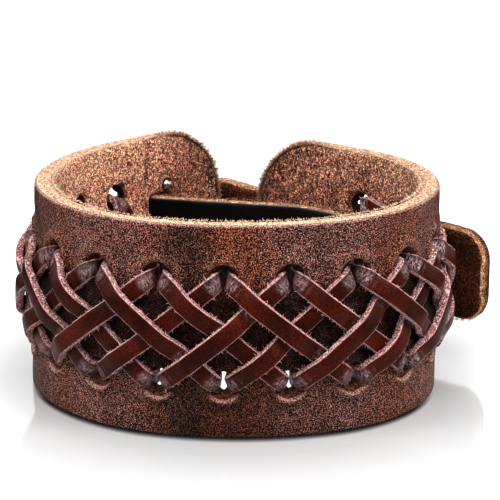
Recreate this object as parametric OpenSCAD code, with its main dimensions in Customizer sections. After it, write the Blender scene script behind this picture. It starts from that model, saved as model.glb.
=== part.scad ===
// Leather bracelet: a wide laced cuff that stands on its lower rim, closed by a narrow strap.
// The cuff is a flat strip bent along the plan curve below. A place on it is given by
// s, the length along its centre line from the left tip, z, the height, and h, the distance
// outward from the middle of its thickness.

/* [Band] */
// Height of the band
band_h = 34; // [32:0.5:38]
// Thickness of the band leather
band_t = 3; // [2.6:0.1:3.2]
// Corner radius of the band's two ends
tip_r = 13; // [10:0.5:16]

/* [Lacing holes] */
// Diameter of the punched holes
hole_d = 4.6; // [4.6:0.1:5.2]
// Distance between neighbouring holes in a row
hole_pitch = 10; // [9.8:0.1:10.2]
// Number of holes in a row
hole_count = 15; // [13:1:15]
// Distance from the left tip to the first hole
first_hole = 23.5; // [23:0.5:24]
// Distance between the two rows
row_gap = 17; // [16.5:0.5:18]
// How far each row closes in to the middle at the ends of the band
row_close = 1.0; // [0:0.1:1.0]

/* [Laces] */
// Width of the lace
lace_w = 2.9; // [2.5:0.1:3]
// Thickness of the lace
lace_t = 1.25; // [1:0.05:1.3]
// Width of the lace where a hole squeezes it
lace_hole_w = 2.5; // [2.2:0.1:2.6]

/* [Closing strap] */
// Thickness of the strap
strap_t = 2.6; // [2:0.1:2.8]
// Width of the strap's neck
neck_w = 14.4; // [13:0.1:14.6]
// Width of the tab at its free end
tab_w = 15.8; // [14:0.1:18]
// Corner radius of the tab
tab_r = 4.5; // [3:0.5:6]
// How much lower the tab sits than the strap's inner end
tab_drop = 2.2; // [0:0.2:3]
// How much lower than mid-height the strap's inner end sits
strap_low = 0.8; // [0.6:0.1:1]

/* [Fittings] */
// Distance of the slot from the left tip
slot_at = 11.5; // [11:0.5:12.5]
// Radius of the small rivet heads
rivet_r = 0.95; // [0.8:0.05:1]
// Radius of the snap's outer cap
snap_r = 4.5; // [4:0.25:5]

/* [Hidden] */

$fn = 64;

// Gap left between pieces that lie on each other
gap = 0.15;
mid_z = band_h / 2;
outer_face = band_t / 2;

// Plan of the band's centre line, from the left tip round the front to the right tip.
// A row is one stretch of constant curvature, and turn is how far its heading turns, in degrees.
LENGTH = 0;
TURN = 1;
PLAN = [
    [21.5, 0],
    [24, 40],
    [37, 80],
    [28, 38],
    [54, 123],
    [20.5, 0],
];
left_tip = [-4.4, 36.5];
left_heading = -137.3;

function total(column, n) = n == 0 ? 0 : PLAN[n - 1][column] + total(column, n - 1);
function turn_radius(i) = PLAN[i][LENGTH] / (PLAN[i][TURN] * PI / 180);
// Move along a stretch that starts with heading a
function along(i, a, u) = PLAN[i][TURN] == 0
    ? u * [cos(a), sin(a)]
    : let (b = a + PLAN[i][TURN] * u / PLAN[i][LENGTH])
        turn_radius(i) * [sin(b) - sin(a), cos(a) - cos(b)];

START_S = [for (i = [0:len(PLAN)]) total(LENGTH, i)];
START_HEADING = [for (i = [0:len(PLAN)]) left_heading + total(TURN, i)];
function start_point(i) = i == 0
    ? left_tip
    : start_point(i - 1) + along(i - 1, START_HEADING[i - 1], PLAN[i - 1][LENGTH]);
START_POINT = [for (i = [0:len(PLAN)]) start_point(i)];

band_length = START_S[len(PLAN)];
right_tip = START_POINT[len(PLAN)];
right_heading = START_HEADING[len(PLAN)];

function stretch_at(s, i = 0) =
    i < len(PLAN) - 1 && s > START_S[i + 1] ? stretch_at(s, i + 1) : i;
function heading(s) = let (i = stretch_at(s))
    START_HEADING[i] + PLAN[i][TURN] * (s - START_S[i]) / PLAN[i][LENGTH];
function centre(s) = let (i = stretch_at(s))
    START_POINT[i] + along(i, START_HEADING[i], s - START_S[i]);
function outward(s) = [sin(heading(s)), -cos(heading(s))];
function wall_point(s, h) = centre(s) + h * outward(s);
function place(s, z, h) = let (p = wall_point(s, h)) [p.x, p.y, z];

// The two flat ends of the band. Their local x runs from the tip along the end, y points outward.
LEFT = 0;
RIGHT = 1;
END_TIP = [left_tip, right_tip];
END_HEADING = [left_heading, right_heading + 180];
END_OUT = [-1, 1];
module on_end(side) {
    translate([END_TIP[side].x, END_TIP[side].y, 0])
        rotate([0, 0, END_HEADING[side]])
            mirror([0, side == LEFT ? 1 : 0, 0])
                children();
}
// Plan point at distance u from a tip and distance h outward from the middle of the leather
function end_point(side, u, h) = let (a = END_HEADING[side])
    END_TIP[side] + u * [cos(a), sin(a)] + END_OUT[side] * h * [-sin(a), cos(a)];

function hole_s(k) = first_hole + k * hole_pitch;
UPPER = 1;
LOWER = 0;
ROW_SIDE = [-1, 1];
function row_z(row, k) =
    mid_z + ROW_SIDE[row] * (row_gap / 2 - row_close * pow(abs(2 * k / (hole_count - 1) - 1), 3));

// Slot for the strap in the left end, as wide as the strap's turn needs
turn_r = strap_t / 2 + 1.7;
slot_w = turn_r + strap_t / 2 + gap;
slot_h = neck_w + 0.6;
strap_mid = mid_z - strap_low;

// Places of the fittings: distance from the tip, and height
snap_u = 6.2;
snap_z = mid_z - 1;
anchor_u = 16.7;
slot_rivet_u = slot_at + 0.7;
slot_rivet_z = [strap_mid - slot_h / 2 - 1.4, strap_mid + slot_h / 2 + 1.4];
snap_post_r = 1.6;
anchor_post_r = 1.2;
rivet_post_r = 0.6;
post_gap = 0.1;

// The laces run below and above each other at two levels outside the band
cross_gap = 0.3;
LOW = outer_face + gap + lace_t / 2;
HIGH = LOW + lace_t + cross_gap;
inside_level = -LOW;
bend_r = 1;
// How far a lace lies beside a hole's middle, and how far it is pulled to the other row
hole_side = 1.05;
hole_pull = 0.35;
// How far a lace leans where it comes out of a hole, in degrees
hole_lean = 18;
// Half length of the level stretch where two laces cross
cross_half = 1.75;
// How far the lace bows to the tip between the first two holes
start_bow = 2.5;
// How far the lace moves to the rim inside, where it leaves the last hole
end_rise = 1.3;

// A row of a lace's route: place, lean of its width from upright in degrees, and width
S = 0;
Z = 1;
H = 2;
LEAN = 3;
WIDE = 4;

function ease(t) = t * t * (3 - 2 * t);
function mix(a, b, t) = a + (b - a) * t;

// Quarter bend from inside a hole to the level stretch. dir is the plan direction of travel,
// side is 1 outside the band and -1 inside, and turned runs from 0 in the hole to 1 on the level.
function bend(s, z, dir, side, lean_hole, lean_out, turned) =
    let (a = 90 * turned, run = bend_r * (1 - cos(a)))
        [
            s + dir.x * run,
            z + dir.y * run,
            side * (LOW - bend_r + bend_r * sin(a)),
            mix(lean_hole, lean_out, turned),
            mix(lace_hole_w, lace_w, turned),
        ];

// Levels at the three crossings of each stretch outside, from its start
CROSS_FIRST = [HIGH, HIGH, LOW];
CROSS_SECOND = [HIGH, LOW, LOW];

// Places along a stretch of length d where its level is set, as pairs of distance and level
function level_knots(d, cross) = [
    [bend_r, LOW],
    for (c = [0:2]) each [
        [d * (c + 1) / 4 - cross_half, cross[c]],
        [d * (c + 1) / 4 + cross_half, cross[c]],
    ],
    [d - bend_r, LOW],
];
// Two steps are added between knots whose levels differ
function level_route(knots) = [
    knots[0],
    for (i = [1:len(knots) - 1]) each [
        for (t = knots[i][1] == knots[i - 1][1] ? [] : [1 / 3, 2 / 3])
            [mix(knots[i - 1][0], knots[i][0], t), mix(knots[i - 1][1], knots[i][1], ease(t))],
        knots[i],
    ],
];

// Height of a lace in a hole of a row, pulled to the middle of the band
function hole_z(row, k) = row_z(row, k) - ROW_SIDE[row] * hole_pull;

// One stretch outside, from hole k of row from to hole k + 2 of the other row
function outside_stretch(k, from, cross) =
    let (
        a = [hole_s(k) + hole_side, hole_z(from, k)],
        b = [hole_s(k + 2) - hole_side, hole_z(1 - from, k + 2)],
        d = norm(b - a),
        dir = (b - a) / d,
        lean = -atan2(dir.y, dir.x),
        lean_in = sign(lean) * hole_lean,
        route = level_route(level_knots(d, cross))
    )
    [
        for (t = [0, 1 / 3, 2 / 3]) bend(a.x, a.y, dir, 1, lean_in, lean, t),
        for (q = route) [a.x + dir.x * q[0], a.y + dir.y * q[0], q[1], lean, lace_w],
        for (t = [2 / 3, 1 / 3, 0]) bend(b.x, b.y, -dir, 1, lean_in, lean, t),
    ];

// One stretch inside, back from hole k to hole k - 1 of the same row
function inside_stretch(k, row) =
    let (rise = k == hole_count - 1 ? ROW_SIDE[row] * end_rise : 0)
    [
        for (t = [0:1 / 3:1]) bend(hole_s(k) - hole_side, hole_z(row, k) + rise * t, [-1, 0], -1, 0, 0, t),
        for (t = [1:-1 / 3:0]) bend(hole_s(k - 1) + hole_side, hole_z(row, k - 1), [1, 0], -1, 0, 0, t),
    ];

// The start lies upright inside, from half-way between the two first holes to hole 0 of a row
function start_stretch(row) =
    let (
        toward = ROW_SIDE[row],
        s = hole_s(0),
        from_z = mid_z + toward * 2 * gap,
        to_z = hole_z(row, 0) - toward * bend_r
    )
    [
        for (t = [0:0.25:1])
            [s - start_bow * cos(90 * t), mix(from_z, to_z, t), inside_level, 90 * toward, lace_w],
        for (t = [2 / 3, 1 / 3, 0]) bend(s, hole_z(row, 0), [0, -toward], -1, 75 * toward, 90 * toward, t),
    ];

// The whole route of a lace that starts out of hole 0 of a row
function lace_route(row, cross) =
    let (last = hole_count - 3)
    [
        each start_stretch(row),
        for (k = [0:last]) each [
            each outside_stretch(k, (row + k) % 2, cross),
            each inside_stretch(k + 2, (row + k + 1) % 2),
        ],
        [
            hole_s(last + 1) + hole_side, hole_z((row + last + 1) % 2, last + 1),
            outer_face - 0.3, 0, lace_hole_w,
        ],
    ];

function unit(v) = v / norm(v);

// A flat strip swept through rings of four corners
module strip(rings) {
    n = len(rings);
    points = [for (ring = rings) each ring];
    sides = [
        for (i = [0:n - 2]) for (j = [0:3])
            let (a = 4 * i + j, b = 4 * i + (j + 1) % 4)
                each [[a, b, b + 4], [a, b + 4, a + 4]]
    ];
    last = 4 * (n - 1);
    ends = [[2, 1, 0], [3, 2, 0], [last, last + 1, last + 2], [last, last + 2, last + 3]];
    polyhedron(points, concat(sides, ends), convexity = 10);
}

function ring(c, across, through) =
    [c - across - through, c + across - through, c + across + through, c - across + through];

// Rings of a lace: its width leans in the band's surface, square to its travel
function lace_rings(route) =
    let (
        points = [for (q = route) place(q[S], q[Z], q[H])],
        n = len(route)
    )
    [
        for (i = [0:n - 1])
            let (
                travel = unit(points[min(i + 1, n - 1)] - points[max(i - 1, 0)]),
                a = heading(route[i][S]),
                lean = route[i][LEAN],
                upright = [sin(lean) * cos(a), sin(lean) * sin(a), cos(lean)],
                across = unit(upright - (upright * travel) * travel),
                through = cross(travel, across)
            )
            ring(points[i], across * route[i][WIDE] / 2, through * lace_t / 2)
    ];

module lace(row, levels) {
    strip(lace_rings(lace_route(row, levels)));
}

module lace_first() {
    color("#4a1d18") lace(LOWER, CROSS_FIRST);
}

module lace_second() {
    color("#57231c") lace(UPPER, CROSS_SECOND);
}

// Lengths along the band at which its plan has a point, about every plan_step degrees of turn
plan_step = 4;
// What the square strip has past its tips before they are cut round
spare = 0.5;
PLAN_S = [
    -spare,
    for (i = [1:len(PLAN) - 1])
        let (steps = max(1, ceil(PLAN[i][TURN] / plan_step)))
            for (k = [0:steps - 1]) START_S[i] + PLAN[i][LENGTH] * k / steps,
    band_length + spare,
];
function wall_points(h) = [for (s = PLAN_S) wall_point(s, h)];

// The bent strip, still square at its ends
module bent_strip() {
    outer = wall_points(outer_face);
    inner = wall_points(-outer_face);
    linear_extrude(band_h) polygon(concat(outer, [for (i = [len(inner) - 1:-1:0]) inner[i]]));
}

// What is cut from an end to leave its corners round
module tip_waste(side) {
    on_end(side)
        translate([0, band_t, 0])
            rotate([90, 0, 0])
                linear_extrude(2 * band_t)
                    difference() {
                        translate([-1, -1]) square([tip_r + 1, band_h + 2]);
                        for (z = [tip_r, band_h - tip_r]) translate([tip_r, z]) circle(r = tip_r, $fn = 96);
                        translate([0, tip_r]) square([2 * tip_r, band_h - 2 * tip_r]);
                    }
}

// A cylinder through the leather of an end, square to it
module end_bore(side, u, z, r, from, to) {
    on_end(side)
        translate([u, from, z])
            rotate([-90, 0, 0])
                cylinder(r = r, h = to - from, $fn = 48);
}

module band() {
    color("#5a3226") difference() {
        bent_strip();
        for (side = [LEFT, RIGHT]) tip_waste(side);
        for (k = [0:hole_count - 1]) for (row = [LOWER, UPPER])
            translate(place(hole_s(k), row_z(row, k), 0))
                rotate([0, 0, heading(hole_s(k))])
                    rotate([90, 0, 0])
                        cylinder(d = hole_d, h = 3 * band_t, center = true, $fn = 48);
        on_end(LEFT)
            translate([slot_at, -band_t, strap_mid - slot_h / 2])
                cube([slot_w, 2 * band_t, slot_h]);
        for (z = slot_rivet_z)
            end_bore(LEFT, slot_rivet_u, z, rivet_post_r + post_gap, -band_t, band_t);
        end_bore(RIGHT, snap_u, snap_z, snap_post_r + post_gap, -band_t, band_t);
        end_bore(RIGHT, anchor_u, strap_mid, anchor_post_r + post_gap, -band_t, band_t);
    }
}

// Distance of the strap's middle from the middle of the band leather where it lies flat on it
strap_off = outer_face + gap + strap_t / 2;

// Corners of the strap's plan, from its inner end to the tab's tip, with the radius of each bend
BEND = 1;
lift = 3.4;
slot_turn = 62.5;
STRAP_CORNERS = [
    [wall_point(band_length - 24.5, -strap_off), 0],
    [wall_point(band_length - 20.5, -strap_off), 15],
    [end_point(RIGHT, 10.5, -strap_off), 9],
    [end_point(LEFT, slot_at + turn_r * tan(slot_turn), strap_off), turn_r],
    [end_point(LEFT, -3.6, strap_off), 3.4],
    [end_point(RIGHT, 0.5, strap_off), 8],
    [end_point(RIGHT, 12.5, strap_off), 9],
    [end_point(RIGHT, 24.5, strap_off + lift), 12],
    [end_point(RIGHT, 42.9, strap_off + 1.6), 0],
];
// Length of the strap from the inner end to where the tab starts to widen, and to its full width
tab_from = 84;
tab_full = 94;

function corner_tangent(i) =
    let (
        p = [for (k = [i - 1:i + 1]) STRAP_CORNERS[k][0]],
        u = unit(p[1] - p[0]),
        v = unit(p[2] - p[1]),
        turn = acos(min(1, u * v))
    )
    STRAP_CORNERS[i][BEND] * tan(turn / 2);

// Points of the strap's plan: straight runs joined by arcs
function corner_arc(i) =
    let (
        p = [for (k = [i - 1:i + 1]) STRAP_CORNERS[k][0]],
        r = STRAP_CORNERS[i][BEND],
        u = unit(p[1] - p[0]),
        v = unit(p[2] - p[1]),
        turn = acos(min(1, u * v)),
        way = sign(cross(u, v)),
        from = p[1] - corner_tangent(i) * u,
        c = from + way * r * [-u.y, u.x],
        steps = max(3, ceil(turn / 10))
    )
    [
        for (k = [0:steps])
            let (b = way * turn * k / steps, q = from - c)
                c + [q.x * cos(b) - q.y * sin(b), q.x * sin(b) + q.y * cos(b)]
    ];

strap_last = len(STRAP_CORNERS) - 1;
tip_run = unit(STRAP_CORNERS[strap_last][0] - STRAP_CORNERS[strap_last - 1][0]);
strap_tip = STRAP_CORNERS[strap_last][0];
inner_run = unit(STRAP_CORNERS[1][0] - STRAP_CORNERS[0][0]);
inner_straight = norm(STRAP_CORNERS[1][0] - STRAP_CORNERS[0][0]) - corner_tangent(1);
// Distances from the end at which a round corner is cut
CORNER_STEPS = [for (a = [0:18:90]) 1 - sin(a)];
inner_r = neck_w / 2;
STRAP_PLAN = [
    for (k = [len(CORNER_STEPS) - 1:-1:0])
        let (d = inner_r * CORNER_STEPS[k])
            if (d < inner_straight - 0.3) STRAP_CORNERS[0][0] + inner_run * d,
    for (i = [1:strap_last - 1]) each corner_arc(i),
    for (c = CORNER_STEPS) strap_tip - tip_run * tab_r * c,
];
STRAP_RUN = [
    for (i = 0, run = 0; i < len(STRAP_PLAN);
        run = run + (i < len(STRAP_PLAN) - 1 ? norm(STRAP_PLAN[i + 1] - STRAP_PLAN[i]) : 0), i = i + 1)
        run
];
strap_length = STRAP_RUN[len(STRAP_RUN) - 1];

// Half the width at a distance from the inner end, with round corners at both ends
function rounding(r, d) = d >= r ? 0 : r - sqrt(max(0, r * r - (r - d) * (r - d)));
function strap_half(run) =
    mix(neck_w, tab_w, ease(min(1, max(0, (run - tab_from) / (tab_full - tab_from))))) / 2
    - rounding(tab_r, strap_length - run) - rounding(inner_r, run);
// The strap runs back a little lower than it came, from the slot on
outer_from = 44;
function strap_z(run) =
    strap_mid - tab_drop * max(0, run - outer_from) / (strap_length - outer_from);

module closing_strap() {
    n = len(STRAP_PLAN);
    rings = [
        for (i = [0:n - 1])
            let (
                run = unit(STRAP_PLAN[min(i + 1, n - 1)] - STRAP_PLAN[max(i - 1, 0)]),
                p = STRAP_PLAN[i],
                c = [p.x, p.y, strap_z(STRAP_RUN[i])]
            )
            ring(c, [0, 0, strap_half(STRAP_RUN[i])], [-run.y, run.x, 0] * strap_t / 2)
    ];
    color("#33201c") difference() {
        strip(rings);
        end_bore(RIGHT, snap_u, snap_z, snap_post_r + post_gap, outer_face, strap_off + strap_t);
        end_bore(RIGHT, anchor_u, strap_mid, anchor_post_r + post_gap, -strap_off - strap_t, -outer_face);
    }
}

// A turned piece that stands square through an end, drawn as points of radius and distance outward
module turned(side, u, z, outline) {
    on_end(side)
        translate([u, 0, z])
            rotate([-90, 0, 0])
                rotate_extrude($fn = 48) polygon(outline);
}

// Low dome of radius r and height h on a plane at distance d, pointing outward or inward
function dome(r, h, d, way) = let (ball = (r * r + h * h) / (2 * h))
    [for (a = [0:0.25:1]) let (x = r * (1 - a)) [x, d + way * (sqrt(ball * ball - x * x) - ball + h)]];

// One plain snap that holds the strap on the right end
module snap() {
    cap = strap_off + strap_t / 2 + post_gap;
    foot = outer_face + post_gap;
    foot_r = 2.3;
    color("#8d8a85") turned(RIGHT, snap_u, snap_z, concat(
        [[0, -foot - 0.5], [foot_r, -foot - 0.5], [foot_r, -foot], [snap_post_r, -foot], [snap_post_r, cap]],
        [[snap_r, cap]],
        dome(snap_r, 1, cap + 0.6, 1)
    ));
}

// One plain rivet that holds the strap's inner end
module anchor_rivet() {
    foot = strap_off + strap_t / 2 + post_gap;
    head = outer_face + post_gap;
    color("#8d8a85") turned(RIGHT, anchor_u, strap_mid, [
        [0, -foot - 0.7], [2.6, -foot - 0.7], [2.6, -foot], [anchor_post_r, -foot],
        [anchor_post_r, head], [2.2, head], [2.2, head + 0.5], [0, head + 0.5],
    ]);
}

// A small rivet beside the slot, with its domed head on the wrist side
module slot_rivet(row) {
    face = outer_face + post_gap / 2;
    color("#c9c5bd") turned(LEFT, slot_rivet_u, slot_rivet_z[row], concat(
        [[0, face + 0.35], [1.1, face + 0.35], [1.1, face], [rivet_post_r, face], [rivet_post_r, -face]],
        dome(rivet_r, 0.7, -face, -1)
    ));
}

module slot_rivet_upper() {
    slot_rivet(UPPER);
}

module slot_rivet_lower() {
    slot_rivet(LOWER);
}

band();
lace_first();
lace_second();
closing_strap();
snap();
anchor_rivet();
slot_rivet_upper();
slot_rivet_lower();
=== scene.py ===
import math

import bpy
import numpy as np
from mathutils import Matrix, Vector
from mathutils.geometry import delaunay_2d_cdt


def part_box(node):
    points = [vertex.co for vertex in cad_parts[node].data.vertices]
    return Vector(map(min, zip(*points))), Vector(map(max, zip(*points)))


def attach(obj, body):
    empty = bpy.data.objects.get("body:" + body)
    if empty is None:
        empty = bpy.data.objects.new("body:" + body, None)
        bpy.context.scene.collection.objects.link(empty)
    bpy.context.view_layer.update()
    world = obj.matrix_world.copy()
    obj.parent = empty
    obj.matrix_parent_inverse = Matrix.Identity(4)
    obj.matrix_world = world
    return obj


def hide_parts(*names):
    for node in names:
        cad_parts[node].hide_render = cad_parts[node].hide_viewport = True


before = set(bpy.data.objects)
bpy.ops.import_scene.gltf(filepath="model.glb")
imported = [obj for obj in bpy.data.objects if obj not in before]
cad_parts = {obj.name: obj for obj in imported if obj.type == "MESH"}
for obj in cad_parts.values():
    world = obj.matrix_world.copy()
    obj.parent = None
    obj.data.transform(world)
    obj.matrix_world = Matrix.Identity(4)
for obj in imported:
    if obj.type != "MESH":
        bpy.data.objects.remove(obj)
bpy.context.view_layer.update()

bl_info = {
    "name": "Leather bracelet",
    "version": (1, 0, 0),
    "blender": (4, 5, 0),
    "location": "3D View > Sidebar > Bracelet",
    "description": "Dresses a laced leather cuff: worn band, crossed laces, closing strap, nickel fittings",
    "category": "Object",
}

MM = 0.001
LEFT, RIGHT = 0, 1
LOWER, UPPER = 0, 1

# Sizes of the band, in millimetres. A place on it is s, the length along its centre line from the
# left tip, z, the height, and h, the distance outward from the middle of the leather.
BAND_H = (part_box("band")[1].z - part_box("band")[0].z) / MM
BAND_T = 3.0
FACE = BAND_T / 2
MID_Z = BAND_H / 2
TIP_R = 13.0
HOLE_R = 2.3
HOLE_PITCH = 10.0
HOLE_COUNT = 15
FIRST_HOLE = 23.5
ROW_GAP = 17.0
ROW_CLOSE = 1.0
ROW_SIDE = (-1, 1)

# Plan of the band's centre line: stretches of constant curvature, from the left tip to the right tip
LENGTH, TURN = 0, 1
PLAN = np.array([(21.5, 0), (24, 40), (37, 80), (28, 38), (54, 123), (20.5, 0)], float)
LEFT_TIP = np.array([-4.4, 36.5])
LEFT_HEADING = math.radians(-137.3)

# Sizes of the strap and the laces, in millimetres
STRAP_T = 2.6
NECK_W = 14.4
TAB_W = 15.8
TAB_R = 4.5
INNER_R = NECK_W / 2
STRAP_MID = MID_Z - 0.8
TAB_DROP = 2.2
SLOT_AT = 11.5
LACE_W = 2.9
LACE_T = 1.25
LACE_HOLE_W = 2.5
GAP = 0.15
CROSS_GAP = 0.3


def plan_starts():
    """Length, heading and point at the start of each stretch of the plan."""
    s = np.concatenate([[0], np.cumsum(PLAN[:, LENGTH])])
    heading = LEFT_HEADING + np.radians(np.concatenate([[0], np.cumsum(PLAN[:, TURN])]))
    points = [LEFT_TIP]
    for (length, turn), a in zip(PLAN, heading):
        points.append(points[-1] + arc_step(length, math.radians(turn) / length, a))
    return s, heading, np.array(points)


def arc_step(u, rate, a):
    """Plan step of an arc of length u that starts with heading a and turns at a rate."""
    chord = u * np.sinc(rate * u / (2 * math.pi))
    way = a + rate * u / 2
    return np.stack([chord * np.cos(way), chord * np.sin(way)], -1)


START_S, START_HEADING, START_POINT = plan_starts()
RATE = np.radians(PLAN[:, TURN]) / PLAN[:, LENGTH]
BAND_LENGTH = START_S[-1]

# The lower rim stands out a little at the left side
FLARE = 0.9
FLARE_AT = 50.0
FLARE_WIDTH = 13.0


def plan_at(s):
    """Plan points and headings at lengths s along the centre line."""
    s = np.asarray(s, float)
    i = np.searchsorted(START_S[1:-1], s, side="left")
    u = s - START_S[i]
    return START_POINT[i] + arc_step(u, RATE[i], START_HEADING[i]), START_HEADING[i] + RATE[i] * u


def place(s, z, h):
    """Points in space, in millimetres, for arrays of s, z and h."""
    p, a = plan_at(s)
    h = h + FLARE * np.exp(-((s - FLARE_AT) / FLARE_WIDTH) ** 2) * (1 - z / BAND_H)
    return np.stack([p[..., 0] + h * np.sin(a), p[..., 1] - h * np.cos(a), z + 0 * h], -1)


def ease(t):
    """A share from 0 to 1 with a soft start and end."""
    t = np.clip(t, 0, 1)
    return t * t * (3 - 2 * t)


def mix(a, b, t):
    """The value at a share t of the way from a to b."""
    return a + (b - a) * t


def bell(x, width):
    """1 at 0, falling off on both sides over a width."""
    return np.exp(-(x / width) ** 2)


def scramble(x, y, z, seed):
    """Repeatable value from 0 to 1 for each lattice point."""
    n = (x * 374761393 + y * 668265263 + z * 2147483647 + seed * 144665) & 0xFFFFFFFF
    n = ((n ^ (n >> 13)) * 1274126177) & 0xFFFFFFFF
    return ((n ^ (n >> 16)) & 0xFFFF) / 65535.0


def noise(points, size, seed=0):
    """Smooth noise from -1 to 1 with blobs of about a size, in millimetres."""
    q = np.asarray(points, float) / size
    low = np.floor(q).astype(np.int64)
    f = q - low
    f = f * f * (3 - 2 * f)
    total = 0
    for dx in (0, 1):
        for dy in (0, 1):
            for dz in (0, 1):
                weight = (f[..., 0] if dx else 1 - f[..., 0]) * (f[..., 1] if dy else 1 - f[..., 1])
                weight = weight * (f[..., 2] if dz else 1 - f[..., 2])
                value = scramble(low[..., 0] + dx, low[..., 1] + dy, low[..., 2] + dz, seed)
                total = total + weight * value
    return 2 * total - 1


def waves(points, table):
    """Sum of noises, each with a height, a size and a seed."""
    return sum(height * noise(points, blob, seed) for height, blob, seed in table)


def unit(v):
    """Vectors scaled to length 1."""
    return v / np.maximum(np.linalg.norm(v, axis=-1, keepdims=True), 1e-9)


def make_mesh(name, points, faces, materials, face_materials=None, attributes=None):
    """A mesh object of points in millimetres, at the origin, riding on the part."""
    mesh = bpy.data.meshes.new(name)
    mesh.from_pydata((np.asarray(points) * MM).tolist(), [], [tuple(int(i) for i in f) for f in faces])
    mesh.update()
    for m in materials:
        mesh.materials.append(m)
    if face_materials is not None:
        mesh.polygons.foreach_set("material_index", np.asarray(face_materials, np.int32))
    mesh.polygons.foreach_set("use_smooth", np.ones(len(mesh.polygons), bool))
    for key, values in (attributes or {}).items():
        layer = mesh.attributes.new(key, "FLOAT", "POINT")
        layer.data.foreach_set("value", np.asarray(values, np.float32))
    mesh.validate()
    obj = bpy.data.objects.new(name, mesh)
    bpy.context.scene.collection.objects.link(obj)
    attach(obj, "root")
    return obj


# Materials

# Fineness of each pattern, as blobs in a metre
BAND_CLOUD, BAND_MOTTLE, BAND_WRINKLE, BAND_COARSE, BAND_SPECK = 170, 620, 1300, 1500, 5600
FLESH_CLOUD, FLESH_CRACK, FLESH_PIT, FLESH_SPECK = 120, 520, 1900, 3500
CUT_LAYER, CUT_SPECK = 800, 3200
LACE_CLOUD, LACE_SPECK = 160, 4500
STRAP_CLOUD, STRAP_WRINKLE, STRAP_SPECK = 160, 1500, 2100
NICKEL_RUB = 900

# Crinkles of a lace's bends: blobs in a millimetre along it, and across its whole width
CRINKLE_RUN, CRINKLE_WIDE = 4.6, 4.2


class Shader:
    """A material's node tree, filled from short calls."""

    def __init__(self, name):
        self.material = bpy.data.materials.get(name) or bpy.data.materials.new(name)
        self.material.use_nodes = True
        self.tree = self.material.node_tree
        self.tree.nodes.clear()
        self.out = self.tree.nodes.new("ShaderNodeOutputMaterial")
        self.bsdf = self.tree.nodes.new("ShaderNodeBsdfPrincipled")
        self.tree.links.new(self.bsdf.outputs[0], self.out.inputs[0])
        coords = self.tree.nodes.new("ShaderNodeTexCoord")
        self.position = coords.outputs["Object"]

    def put(self, socket, value):
        if isinstance(value, bpy.types.NodeSocket):
            self.tree.links.new(value, socket)
        elif hasattr(value, "__len__") and len(value) == 3 and socket.type == "RGBA":
            socket.default_value = (*value, 1)
        else:
            socket.default_value = value

    def node(self, kind, output=0, inputs=None, **settings):
        n = self.tree.nodes.new(kind)
        for key, value in settings.items():
            setattr(n, key, value)
        for key, value in (inputs or {}).items():
            self.put(n.inputs[key], value)
        return n.outputs[output]

    def stretch(self, scale):
        return self.node("ShaderNodeMapping", inputs={"Vector": self.position, "Scale": scale})

    def noise(self, scale, detail=2, rough=0.5, vector=None, twist=0.0):
        return self.node("ShaderNodeTexNoise", inputs={
            "Vector": vector or self.position, "Scale": scale, "Detail": detail, "Roughness": rough,
            "Distortion": twist})

    def cells(self, scale, feature="F1"):
        return self.node("ShaderNodeTexVoronoi", inputs={"Vector": self.position, "Scale": scale},
                         feature=feature)

    def ramp(self, value, low, high, to_low=0.0, to_high=1.0):
        return self.node("ShaderNodeMapRange", inputs={
            "Value": value, "From Min": low, "From Max": high, "To Min": to_low, "To Max": to_high})

    def math(self, operation, a, b=0.0):
        return self.node("ShaderNodeMath", inputs={0: a, 1: b}, operation=operation)

    def blend(self, factor, a, b, kind="MIX"):
        n = self.tree.nodes.new("ShaderNodeMix")
        n.data_type = "RGBA"
        n.blend_type = kind
        self.put(n.inputs[0], factor)
        self.put(n.inputs[6], a)
        self.put(n.inputs[7], b)
        return n.outputs[2]

    def gain(self, colour, value, middle, strength):
        """A colour made lighter above a middle value and darker below it, by equal shares."""
        above = self.math("SUBTRACT", value, middle)
        factor = self.math("EXPONENT", self.math("MULTIPLY", above, strength))
        joined = self.node("ShaderNodeCombineColor", inputs={0: factor, 1: factor, 2: factor})
        return self.blend(1.0, colour, joined, "MULTIPLY")

    def mark(self, name):
        return self.node("ShaderNodeAttribute", output="Fac", attribute_name=name)

    def bump(self, height, strength, distance, normal=None):
        inputs = {"Height": height, "Strength": strength, "Distance": distance}
        if normal is not None:
            inputs["Normal"] = normal
        return self.node("ShaderNodeBump", inputs=inputs)

    def finish(self, **inputs):
        for key, value in inputs.items():
            self.put(self.bsdf.inputs[key.replace("_", " ")], value)
        return self.material


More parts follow.
